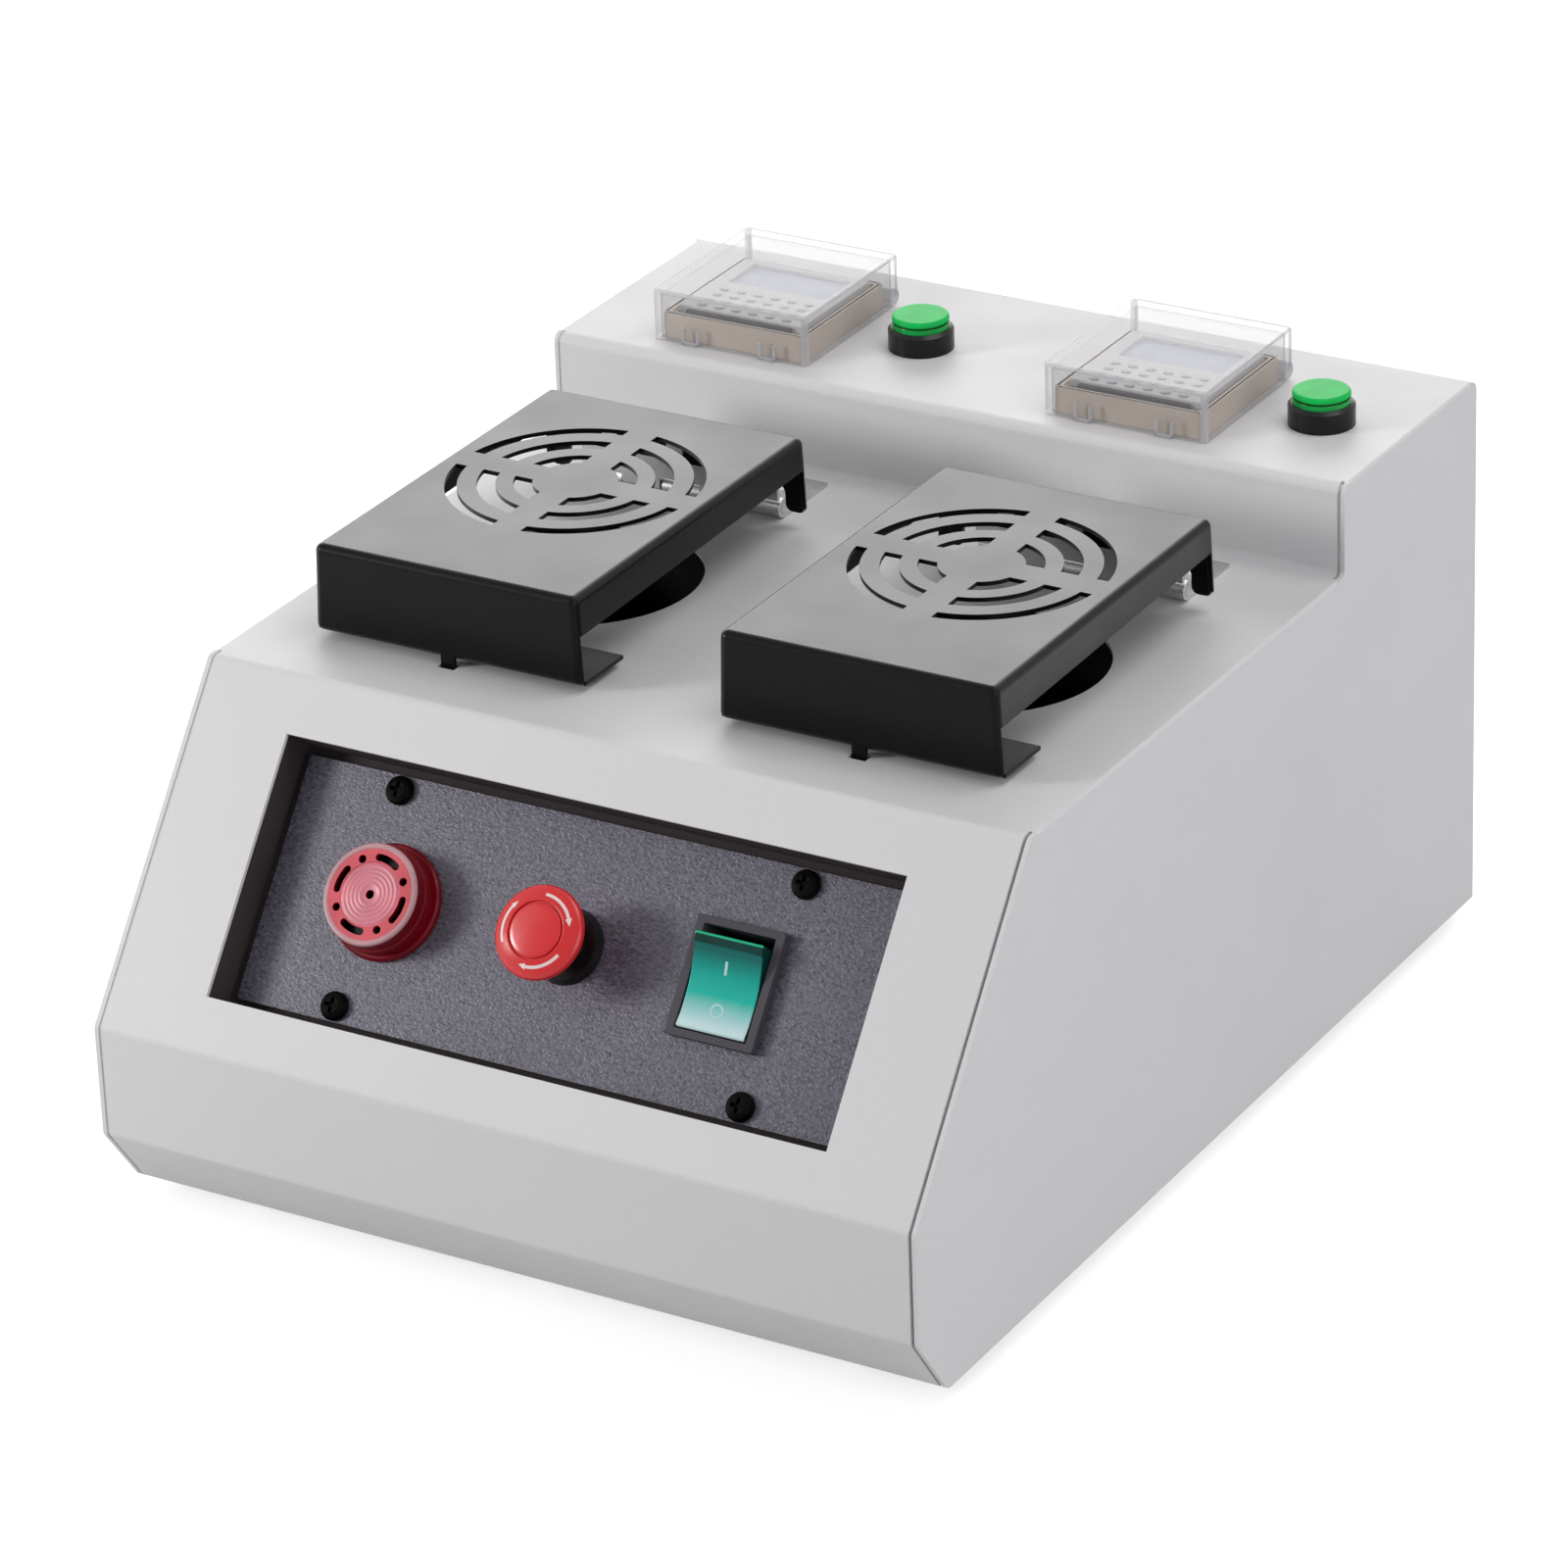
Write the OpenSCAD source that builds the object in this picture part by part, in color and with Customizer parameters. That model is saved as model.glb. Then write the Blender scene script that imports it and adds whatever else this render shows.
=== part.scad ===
// Two-well solder-paste jar thawing machine: folded steel housing with a sloped front,
// a recessed control panel, two hinged grille lids over round wells, two panel timers
// under clear flip covers and two start buttons.
// Millimetres. +X right, +Y to the back, +Z up; origin under the middle, on the table.

/* [Housing] */
// Overall width of the housing
body_w = 240; // [236:1:300]
// Depth of the housing from the front face to the rear panel
body_d = 310.3; // [300:0.1:360]
// Setback of the bottom edge at the front chamfer
chamfer_y = 13.5; // [8:0.5:18]
// Height of the front chamfer
chamfer_z = 18.7; // [12:0.1:24]
// Height at which the front face starts to slope
slope_z = 49.6; // [44:0.1:52]
// Setback of the deck's front edge
deck_y = 61.5; // [58:0.1:63]
// Height of the deck
deck_z = 128.8; // [126:0.1:136]
// Depth of the top deck, from the riser to the rear panel
top_d = 79.1; // [77:0.1:84]
// Height of the top deck
top_z = 154.2; // [150:0.1:162]
// Thickness of the folded sheet
sheet_t = 1.2; // [1:0.1:1.6]
// Outer radius of the housing's bends
bend_r = 3; // [2.4:0.1:4]
// Thickness of the side panels
side_t = 1.2; // [1:0.1:1.6]
// Open corner seam between a side panel and the sloped, front and riser faces
seam = 1; // [0.6:0.1:1.2]
// Radius of the edges where the decks meet the side panels
edge_r = 1; // [0.6:0.1:1]
// Thickness of the rear panel
rear_t = 1.5; // [1.2:0.1:2]
// Thickness of the base plate
base_t = 1.5; // [1.2:0.1:2]
// Width of the inner flanges that the screws pass through
flange_w = 14; // [12:0.5:16]

/* [Feet] */
// Height of the housing above the table
foot_h = 5; // [4:0.5:8]
// Largest radius of a foot
foot_r = 10; // [8.5:0.5:11]
// Distance of the feet from the side faces
foot_inset_x = 28; // [27:1:40]
// Distance of the feet from the front face and the rear panel
foot_inset_y = 42; // [41:1:60]

/* [Control panel] */
// Width of the opening in the sloped face
opening_w = 181.2; // [178:0.2:184]
// Height of the opening, measured up the slope
opening_h = 70; // [68:0.2:72]
// Middle of the opening, measured up the slope from its lower bend
opening_s = 49.5; // [48.5:0.1:50.5]
// Depth of the panel plate's face below the sloped face
panel_depth = 10.4; // [8:0.1:12]
// Thickness of the panel plate
panel_t = 2; // [1.5:0.1:2.4]
// Gap between the panel plate and the surround
panel_gap = 2.4; // [2:0.1:3]
// Half the distance between the panel screws across
panel_screw_x = 59.5; // [58:0.5:61]
// Half the distance between the panel screws up the slope
panel_screw_s = 28.6; // [28:0.1:29]

/* [Alarm buzzer] */
// Place of the buzzer across the panel
buzzer_x = -53.5; // [-54:0.1:-52]
// Radius of the buzzer's lens
lens_r = 13.8; // [13:0.1:14]
// Height of the lens above the panel
lens_h = 10.2; // [9:0.1:12]
// Radius of the lens's flange
lens_flange_r = 15.3; // [14.8:0.1:15.6]
// Wall of the lens
lens_wall = 1.6; // [1.2:0.1:2]
// Radius of the circle that the sound slots lie on
sound_r = 9.7; // [9.4:0.1:10]

/* [Emergency stop] */
// Radius of the mushroom head
stop_r = 12.2; // [11:0.1:13]
// Height of the head's top above the panel
stop_h = 19; // [18:0.1:21]
// Travel of the head when it is struck
stop_travel = 4; // [3:0.5:4]

/* [Power switch] */
// Place of the switch across the panel
rocker_x = 46.8; // [46:0.1:48]
// Width of the switch's frame
rocker_frame_w = 25.2; // [24.6:0.1:26]
// Height of the switch's frame
rocker_frame_h = 31; // [30:0.1:32]
// Height of the frame above the panel
rocker_frame_t = 2.8; // [2.4:0.1:3.2]
// Tilt of the rocker between its two positions
rocker_swing = 20; // [16:1:22]

/* [Stations] */
// Distance between the middles of the two stations
unit_pitch = 120.6; // [120:0.1:122]
// Place of the wells behind the middle of the lids
well_back = 6.6; // [6:0.1:7]
// Radius of a well
well_r = 32.8; // [32:0.1:33.4]
// Depth of a well below the deck
well_depth = 68; // [60:1:72]
// Wall of a well cup
cup_wall = 1.5; // [1.2:0.1:2]

/* [Lids] */
// Width of a lid at its top
lid_w = 79; // [78:0.1:80]
// Front face of a lid behind the front edge of the deck
lid_setback = 20.3; // [19.5:0.1:21]
// Distance of a lid's rear face from the riser
lid_clear = 34.2; // [33.6:0.1:35]
// Height of a lid's top above the deck
lid_h = 26.5; // [26:0.1:28]
// Gap between a lid's lower edge and the deck
lid_gap = 2; // [1.6:0.05:2.4]
// Thickness of the lid sheet
lid_t = 1.2; // [1:0.1:1.4]
// Outer radius of the lid's bends
lid_bend_r = 2.2; // [2:0.1:2.6]
// Height of the side flanges at the front
lid_flange = 10.8; // [10:0.1:11.4]
// Height of the side flanges at the rear
lid_flange_rear = 9; // [8:0.1:9.6]
// Depth of the turned-in lip
lid_lip = 20; // [16:0.5:21]
// Spread of the front wall on each side, at its lower edge
lid_flare = 1; // [0.6:0.1:1.2]
// Width of the latch tongue
tongue_w = 4.2; // [4:0.1:5]
// Depth of the latch tongue below the deck
tongue_drop = 11.5; // [11:0.1:12]
// Greatest opening angle of a lid
lid_open = 95; // [80:1:95]

/* [Grille] */
// Outer radii of the slot rings
grille_r = [34.2, 25.8, 16.2];
// Widths of the slots in each ring
grille_slot = [3.3, 5, 5];
// Width of the four spokes
spoke_w = 8.6; // [7:0.1:10]

/* [Hinges] */
// Width of a hinge
hinge_w = 61; // [58:0.5:62]
// Thickness of the hinge leaves
leaf_t = 1.2; // [1:0.1:1.4]
// Length of the leaf on the deck, from the pin's axis
leaf_len = 23.3; // [21:0.1:24]
// Height of the leaf on the lid, above the pin's axis
leaf_up = 17; // [16:0.1:18]
// Radius of the hinge barrels
barrel_r = 2.7; // [2.4:0.1:2.7]
// Radius of the hinge pins
pin_r = 1.4; // [1.2:0.1:1.5]
// Running clearance around the hinge pins
pin_fit = 0.05; // [0.03:0.01:0.08]

/* [Timers] */
// Place of a timer beside the middle of its station
timer_dx = -8.9; // [-9.4:0.1:-8.4]
// Middle of the timers behind the riser
timer_setback = 34.1; // [33.8:0.1:34.8]
// Width of a clear cover
cover_w = 48.2; // [47.8:0.1:49]
// Length of a clear cover, front to back
cover_l = 51; // [50.8:0.1:52]
// Height of a clear cover's top above the top deck
cover_h = 14.6; // [13.6:0.1:16]
// Wall of a clear cover
cover_t = 1.5; // [1.2:0.1:1.6]
// Gap between the cover and the bezel
cover_gap = 0.5; // [0.4:0.05:0.6]
// Height of the timer bezel above the top deck
bezel_h = 7.5; // [7:0.1:8]
// Side of the timer case below the deck
case_w = 40; // [38:0.1:41]
// Depth of the timer case below the deck
case_depth = 60; // [50:1:70]
// Greatest opening angle of a cover
cover_open = 90; // [60:1:90]

/* [Start buttons] */
// Place of a button beside the middle of its station
button_dx = 35.7; // [35.4:0.1:36]
// Middle of the buttons behind the riser
button_setback = 35.1; // [34:0.1:37]
// Outer radius of a button's bezel
button_r = 9; // [8.7:0.1:9.4]
// Height of the bezel above the top deck
button_bezel_h = 6.3; // [5.6:0.1:7]
// Height of the cap's top above the top deck
button_cap_h = 9.6; // [9.4:0.1:10.4]
// Radius of the cap
button_cap_r = 7.8; // [7.4:0.1:7.9]
// Travel of the cap
button_travel = 2.4; // [2:0.1:2.6]

/* [Rear and inside] */
// Distance of the middle of the mains inlet from the right side
inlet_side = 42; // [40:1:50]
// Height of the middle of the mains inlet
inlet_z = 34; // [32:1:40]
// Height of the mains inlet's flange behind the rear panel
inlet_flange_t = 2.6; // [2:0.1:3]
// Height of the board standoffs
standoff_h = 8; // [6:0.5:10]

/* [Hidden] */
$fn = 64;

LEFT = -1;
RIGHT = 1;
eps = 0.01;

// General clearances
fit = 0.3;                       // between parts that only lie near each other
slide_fit = 0.08;                // round running parts, radial

// Derived places
back_y = body_d + rear_t;        // outer face of the rear panel
total_d = back_y + inlet_flange_t;
front_y = -total_d / 2;          // front face in the row's frame
inner_w = body_w - 2 * side_t;   // between the side panels
wrap_w = inner_w - 2 * seam;     // where the folded sheet has open seams
slope_a = atan2(deck_z - slope_z, deck_y);
riser_y = body_d - top_d;
lid_front = deck_y + lid_setback;
lid_back = riser_y - lid_clear;
well_y = (lid_front + lid_back) / 2 + well_back;
timer_y = riser_y + timer_setback;
button_y = riser_y + button_setback;
axis_y = lid_back + 3;           // lid hinge axis
axis_z = deck_z + 3;
cover_axis_r = 2.4;              // barrels of the clear covers
cover_back = timer_y + cover_l / 2;
cover_axis_y = cover_back - cover_axis_r;
cover_axis_z = top_z + cover_axis_r + fit;

// M3 and M4 pan-head screws
m3_r = 1.5;
m3_head_r = 2.8;
m3_head_h = 1.6;
m4_r = 2;
m4_head_r = 3.8;
m4_head_h = 2.4;
hole_fit = 0.15;
bend_steps = 6;

// ---- paths of folded sheet, as (y, z) points with the outside on the left ----

function unit(v) = v / norm(v);

// Right-hand normal of the stretch from a to b
function inward(a, b) = let (d = unit(b - a)) [d.y, -d.x];

// The path moved inwards by t, mitred at its corners
function shifted(path, t) = let (last = len(path) - 1) [
    for (i = [0 : last])
        let (
            n1 = inward(path[i == 0 ? 0 : i - 1], path[i == 0 ? 1 : i]),
            n2 = inward(path[i == last ? i - 1 : i], path[i == last ? i : i + 1])
        )
        path[i] + t * (n1 + n2) / (1 + n1 * n2)
];

// Points of the round bend of radius r at b
function bend(a, b, c, r) =
    let (
        u = unit(a - b),
        v = unit(c - b),
        half = acos(u * v) / 2,
        centre = b + unit(u + v) * r / sin(half),
        from = unit(b + u * r / tan(half) - centre),
        to = unit(b + v * r / tan(half) - centre),
        sweep = acos(from * to)
    )
    [for (k = [0 : bend_steps])
        let (f = k / bend_steps)
        centre + r * (sin((1 - f) * sweep) * from + sin(f * sweep) * to) / sin(sweep)];

// The path with its bends rounded: radius r where it turns right, s where it turns left
function bent(path, r, s) = let (last = len(path) - 1) concat(
    [path[0]],
    [for (i = [1 : last - 1])
        let (turns_right = cross(path[i] - path[i - 1], path[i + 1] - path[i]) < 0)
        each bend(path[i - 1], path[i], path[i + 1], turns_right ? r : s)],
    [path[last]]
);

function backwards(path) = [for (i = [len(path) - 1 : -1 : 0]) path[i]];

// Closed outline of a folded strip of thickness t and outer bend radius r
function strip(path, t, r) =
    concat(bent(path, r, r - t), backwards(bent(shifted(path, t), r - t, r)));

// Extrudes a (y, z) outline across the width w, middle at x = 0
module across(w) {
    rotate([90, 0, 90])
        linear_extrude(w, center = true)
            children();
}

// ---- frames ----

// Housing frame to row frame
module housing_frame() {
    translate([0, front_y, foot_h]) children();
}

// Frame of the left or right station, in the housing frame
module station(side) {
    translate([side * unit_pitch / 2, 0, 0]) children();
}

// Frame on the sloped face: x across, y up the slope, z out of it
module on_slope(depth = 0) {
    translate([0, 0, slope_z])
        rotate([slope_a, 0, 0])
            translate([0, opening_s, -depth])
                children();
}

module on_deck() {
    translate([0, 0, deck_z]) children();
}

module on_top() {
    translate([0, 0, top_z]) children();
}

// ---- shared shapes ----

module plate(w, l, h, r = 0) {
    linear_extrude(h)
        if (r > 0) {
            for (x = [-1, 1])
                for (y = [-1, 1])
                    translate([x * (w / 2 - r), y * (l / 2 - r)]) circle(r, $fn = 32);
            square([w - 2 * r, l], center = true);
            square([w, l - 2 * r], center = true);
        } else
            square([w, l], center = true);
}

module ring(outer, inner, h) {
    difference() {
        cylinder(h, r = outer);
        translate([0, 0, -eps]) cylinder(h + 2 * eps, r = inner);
    }
}

// Pan-head screw: head above z = 0, shank below, cross recess in the head
module screw(shank_r, head_r, head_h, len) {
    recess_w = head_r * 0.28;
    recess_l = head_r * 1.05;
    difference() {
        rotate_extrude()
            polygon([
                [0, -len], [shank_r, -len], [shank_r, 0], [head_r, 0],
                [head_r, head_h * 0.45], [head_r * 0.86, head_h * 0.8], [head_r * 0.55, head_h],
                [0, head_h]
            ]);
        for (a = [0, 90])
            rotate([0, 0, a])
                translate([0, 0, head_h])
                    cube([recess_l, recess_w, head_h], center = true);
    }
}

module m3_screw(len) {
    screw(m3_r, m3_head_r, m3_head_h, len);
}

module m4_screw(len) {
    screw(m4_r, m4_head_r, m4_head_h, len);
}

// ---- housing ----

wrap_path = [
    [chamfer_y + flange_w, 0], [chamfer_y, 0], [0, chamfer_z], [0, slope_z],
    [deck_y, deck_z], [riser_y, deck_z], [riser_y, top_z], [body_d, top_z],
    [body_d, top_z - flange_w]
];
side_path = [
    [body_d, 0], [chamfer_y, 0], [0, chamfer_z], [0, slope_z],
    [deck_y, deck_z], [riser_y, deck_z], [riser_y, top_z], [body_d, top_z],
    [body_d, top_z - flange_w]
];
deck_lap = [deck_y + bend_r, riser_y - bend_r];
top_lap = [riser_y + bend_r, body_d - bend_r];
side_flange_x = inner_w / 2 - flange_w / 2;
flange_front = chamfer_y + flange_w + 4;
rear_screw_z = top_z - flange_w / 2 - 1;
rear_side_z = [26, 100];
rear_top_x = [-80, 0, 80];
base_side_y = [64, 150, body_d - 60.3];
base_front_x = [-88, 0, 88];
base_front_y = chamfer_y + flange_w / 2 + 1;
leaf_screw_x = [-22, 0, 22];
leaf_screw_y = axis_y + leaf_len - 8;
timer_hole = case_w + 2 * fit;
button_barrel_r = 8;
tongue_side = 0.5;
tongue_swing = 1.3;
tongue_back = 1;

// Slot in the deck for a latch tongue, with room in front of it for the lid's swing
module tongue_slot() {
    translate([-tongue_w / 2 - tongue_side, lid_front - tongue_swing, -2 * sheet_t])
        cube([tongue_w + 2 * tongue_side, tongue_swing + lid_t + tongue_back, 3 * sheet_t]);
}

// Strip of a deck that runs out over a side panel, rounded at its outer edge
module lap(side, y, z) {
    outer = side * body_w / 2;
    inner = side * (wrap_w / 2 - 1);
    translate([0, y[1], 0])
        rotate([90, 0, 0])
            linear_extrude(y[1] - y[0])
                polygon(concat(
                    bent([[outer, z - sheet_t], [outer, z], [inner, z]], edge_r, edge_r),
                    [[inner, z - sheet_t]]
                ));
}

// Side view of the rear bend, which is as wide as the housing
module rear_bend() {
    intersection() {
        polygon(strip(wrap_path, sheet_t, bend_r));
        translate([body_d - bend_r, top_z - flange_w]) square([bend_r, flange_w]);
    }
}

module housing_wrap() {
    color("gainsboro")
    housing_frame()
    difference() {
        union() {
            across(wrap_w) polygon(strip(wrap_path, sheet_t, bend_r));
            across(body_w) rear_bend();
            for (side = [LEFT, RIGHT]) {
                lap(side, deck_lap, deck_z);
                lap(side, top_lap, top_z);
            }
        }
        on_slope() cube([opening_w, opening_h, 4 * sheet_t], center = true);
        for (side = [LEFT, RIGHT])
            station(side) {
                translate([0, well_y, deck_z - 2 * sheet_t]) cylinder(3 * sheet_t, r = well_r, $fn = 96);
                on_deck() tongue_slot();
                on_deck()
                    for (x = leaf_screw_x)
                        translate([x, leaf_screw_y, -2 * sheet_t])
                            cylinder(3 * sheet_t, r = m3_r + hole_fit, $fn = 24);
                translate([timer_dx, bezel_y, top_z])
                    cube([timer_hole, timer_hole, 4 * sheet_t], center = true);
                translate([button_dx, button_y, top_z - 2 * sheet_t])
                    cylinder(3 * sheet_t, r = button_barrel_r + hole_fit);
            }
        for (x = rear_top_x)
            translate([x, body_d + sheet_t, rear_screw_z])
                rotate([90, 0, 0]) cylinder(3 * sheet_t, r = m3_r + hole_fit, $fn = 24);
        for (x = base_front_x)
            translate([x, base_front_y, -sheet_t])
                cylinder(3 * sheet_t, r = m3_r + hole_fit, $fn = 24);
    }
}

// A side panel with its flanges for the base plate and the rear panel
module side_panel(side) {
    housing_frame()
    difference() {
        union() {
            translate([side * (body_w - side_t) / 2, 0, 0])
                across(side_t)
                    difference() {
                        polygon(bent(side_path, bend_r, bend_r - sheet_t));
                        translate([deck_lap[0], deck_z - sheet_t])
                            square([deck_lap[1] - deck_lap[0], 2 * sheet_t]);
                        translate([top_lap[0], top_z - sheet_t])
                            square([top_lap[1] - top_lap[0], 2 * sheet_t]);
                        rear_bend();
                    }
            translate([side * side_flange_x - flange_w / 2, flange_front, 0])
                cube([flange_w, body_d - flange_front, sheet_t]);
            translate([side * side_flange_x - flange_w / 2, body_d - sheet_t, sheet_t + base_t + fit])
                cube([flange_w, sheet_t, top_z - 2 * flange_w]);
        }
        for (y = base_side_y)
            translate([side * side_flange_x, y, -sheet_t])
                cylinder(3 * sheet_t, r = m3_r + hole_fit, $fn = 24);
        for (z = rear_side_z)
            translate([side * side_flange_x, body_d + sheet_t, z])
                rotate([90, 0, 0]) cylinder(3 * sheet_t, r = m3_r + hole_fit, $fn = 24);
    }
}

module left_side_panel() {
    color("gainsboro") side_panel(LEFT);
}

module right_side_panel() {
    color("gainsboro") side_panel(RIGHT);
}

// Mains inlet sizes, shared with the rear panel's cut-out
inlet_w = 50;
inlet_h = 24;
inlet_body_w = 28;
inlet_body_h = 20;
inlet_depth = 24;
inlet_screw_x = 20;
inlet_x = body_w / 2 - inlet_side;
rear_edge = 1;
rear_margin = 3;
vent_slot = [26, 3];
vent_pitch = 7;
vent_rows = 9;
vent_x = [-72, -36, 0];
vent_z = 62;

module rear_panel() {
    color("gainsboro")
    housing_frame()
    difference() {
        translate([-body_w / 2 + rear_margin, body_d, rear_edge])
            cube([body_w - 2 * rear_margin, rear_t, top_z - rear_edge - rear_margin - 1]);
        translate([inlet_x, body_d, inlet_z])
            cube([inlet_body_w + 2 * fit, 4 * rear_t, inlet_body_h + 2 * fit], center = true);
        for (x = [-1, 1])
            translate([inlet_x + x * inlet_screw_x, back_y + rear_t, inlet_z])
                rotate([90, 0, 0]) cylinder(3 * rear_t, r = m3_r + hole_fit, $fn = 24);
        for (x = vent_x)
            for (k = [0 : vent_rows - 1])
                translate([x, body_d, vent_z + k * vent_pitch])
                    cube([vent_slot[0], 4 * rear_t, vent_slot[1]], center = true);
        for (x = rear_top_x)
            translate([x, back_y + rear_t, rear_screw_z])
                rotate([90, 0, 0]) cylinder(3 * rear_t, r = m3_r + hole_fit, $fn = 24);
        for (side = [LEFT, RIGHT])
            for (z = rear_side_z)
                translate([side * side_flange_x, back_y + rear_t, z])
                    rotate([90, 0, 0]) cylinder(3 * rear_t, r = m3_r + hole_fit, $fn = 24);
    }
}

base_y = chamfer_y + 3;
base_l = body_d - fit - base_y;
base_w = inner_w - 2 * fit;
foot_x = body_w / 2 - foot_inset_x;
foot_ys = [foot_inset_y, body_d - foot_inset_y];
base_vent_x = 30;
base_vent_y = [110, 122, 134, 146, 158, 170];
base_vent = [44, 4];
board_x = body_w / 2 - 64;
board_y = body_d - 74.3;
board_w = 92;
board_l = 74;
board_t = 1.6;
board_inset = 5;
supply_x = 62 - body_w / 2;
supply_y = body_d - 76.3;
supply_w = 84;
supply_l = 62;
supply_h = 34;

// Holes of the four standoffs under the control board
module at_standoffs() {
    for (x = [-1, 1])
        for (y = [-1, 1])
            translate([
                board_x + x * (board_w / 2 - board_inset),
                board_y + y * (board_l / 2 - board_inset),
                0
            ])
                children();
}

module base_plate() {
    color("silver")
    housing_frame()
    difference() {
        translate([-base_w / 2, base_y, sheet_t]) cube([base_w, base_l, base_t]);
        for (x = [-foot_x, foot_x])
            for (y = foot_ys)
                translate([x, y, 0]) cylinder(3 * base_t, r = m4_r + hole_fit, $fn = 24);
        for (side = [LEFT, RIGHT])
            for (y = base_side_y)
                translate([side * side_flange_x, y, 0])
                    cylinder(3 * base_t, r = m3_r + hole_fit, $fn = 24);
        for (x = base_front_x)
            translate([x, base_front_y, 0]) cylinder(3 * base_t, r = m3_r + hole_fit, $fn = 24);
        for (x = [-base_vent_x, base_vent_x])
            for (y = base_vent_y)
                translate([x, y, base_t]) cube([base_vent[0], base_vent[1], 4 * base_t], center = true);
        at_standoffs() cylinder(3 * base_t, r = m3_r + hole_fit, $fn = 24);
    }
}

rear_screw_len = 7;
base_screw_len = 6;

module rear_screws() {
    color("silver")
    housing_frame()
    translate([0, back_y, 0]) {
        for (x = rear_top_x)
            translate([x, 0, rear_screw_z]) rotate([-90, 0, 0]) m3_screw(rear_screw_len);
        for (side = [LEFT, RIGHT])
            for (z = rear_side_z)
                translate([side * side_flange_x, 0, z]) rotate([-90, 0, 0]) m3_screw(rear_screw_len);
    }
}

module base_screws() {
    color("silver")
    housing_frame() {
        for (x = base_front_x)
            translate([x, base_front_y, 0]) rotate([180, 0, 0]) m3_screw(base_screw_len);
        for (side = [LEFT, RIGHT])
            for (y = base_side_y)
                translate([side * side_flange_x, y, 0]) rotate([180, 0, 0]) m3_screw(base_screw_len);
    }
}

foot_recess_r = 5;
foot_recess_h = 3.4;
foot_taper = 1.2;

module at_feet() {
    for (x = [-foot_x, foot_x])
        for (y = foot_ys)
            translate([x, y, -foot_h]) children();
}

module rubber_feet() {
    color("dimgray")
    housing_frame()
    at_feet()
    difference() {
        cylinder(foot_h + sheet_t, r1 = foot_r - foot_taper, r2 = foot_r);
        translate([0, 0, -eps]) cylinder(foot_recess_h + eps, r = foot_recess_r);
        cylinder(2 * foot_h, r = m4_r + hole_fit, $fn = 24);
    }
}

module foot_screws() {
    color("silver")
    housing_frame()
    at_feet()
    translate([0, 0, foot_recess_h]) rotate([180, 0, 0]) m4_screw(foot_h + 2);
}

// ---- control panel ----

surround_wall = 1.2;
surround_flange = 6;
plate_w = opening_w - 2 * panel_gap;
plate_h = opening_h - 2 * panel_gap;
ledge_w = panel_gap + 7;
buzzer_hole_r = 11;
stop_hole_r = 8;
rocker_hole_w = 22;
rocker_hole_h = 28.6;

module at_panel_screws() {
    for (x = [-panel_screw_x, panel_screw_x])
        for (y = [-panel_screw_s, panel_screw_s])
            translate([x, y, 0]) children();
}

// Dark tray frame behind the opening: flange under the sheet, four walls, inner ledge
module panel_surround() {
    back = panel_depth + panel_t;
    color("black")
    housing_frame()
    on_slope()
    difference() {
        union() {
            translate([0, 0, -sheet_t - surround_wall])
                plate(opening_w + 2 * surround_flange, opening_h + 2 * surround_flange, surround_wall);
            translate([0, 0, -back - surround_wall])
                plate(opening_w + 2 * surround_wall, opening_h + 2 * surround_wall,
                      back + surround_wall - sheet_t);
        }
        translate([0, 0, -back]) plate(opening_w, opening_h, back);
        translate([0, 0, -2 * back])
            plate(opening_w - 2 * ledge_w, opening_h - 2 * ledge_w, 2 * back);
        at_panel_screws()
            translate([0, 0, -2 * back]) cylinder(2 * back, r = m4_r + hole_fit, $fn = 24);
    }
}

module control_panel() {
    color("dimgray")
    housing_frame()
    on_slope(panel_depth + panel_t)
    difference() {
        plate(plate_w, plate_h, panel_t, 1);
        at_panel_screws() translate([0, 0, -eps]) cylinder(2 * panel_t, r = m4_r + hole_fit, $fn = 24);
        translate([buzzer_x, 0, -eps]) cylinder(2 * panel_t, r = buzzer_hole_r + hole_fit);
        translate([0, 0, -eps]) cylinder(2 * panel_t, r = stop_hole_r + hole_fit);
        translate([rocker_x, 0, -eps])
            plate(rocker_hole_w + 2 * hole_fit, rocker_hole_h + 2 * hole_fit, 2 * panel_t);
    }
}

module panel_screws() {
    color("black")
    housing_frame()
    on_slope(panel_depth)
    at_panel_screws() m4_screw(panel_t + 6);
}

// ---- alarm buzzer ----

buzzer_len = 34;
buzzer_nut_h = 4;
buzzer_nut_flats = 28;
small_nut_flats = 20;
buzzer_thread_r = buzzer_hole_r - 0.4;
lens_flange_h = 2;
sounder_r = lens_r - lens_wall - fit;
sounder_h = lens_h - lens_wall - 2.5;
slot_half = 0.95;
slot_sweep = 34;
sound_turn = 31;
buzzer_tab_x = 3.5;
tab_t = 0.8;
tab_w = 4.8;
tab_len = 7;

module buzzer_body() {
    color("black")
    housing_frame()
    on_slope(panel_depth)
    translate([buzzer_x, 0, 0]) {
        translate([0, 0, -buzzer_len]) cylinder(buzzer_len, r = buzzer_thread_r);
        cylinder(sounder_h, r = sounder_r);
        for (x = [-buzzer_tab_x, buzzer_tab_x])
            translate([x, 0, -buzzer_len - tab_len]) plate(tab_t, tab_w, tab_len + eps);
    }
}

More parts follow.
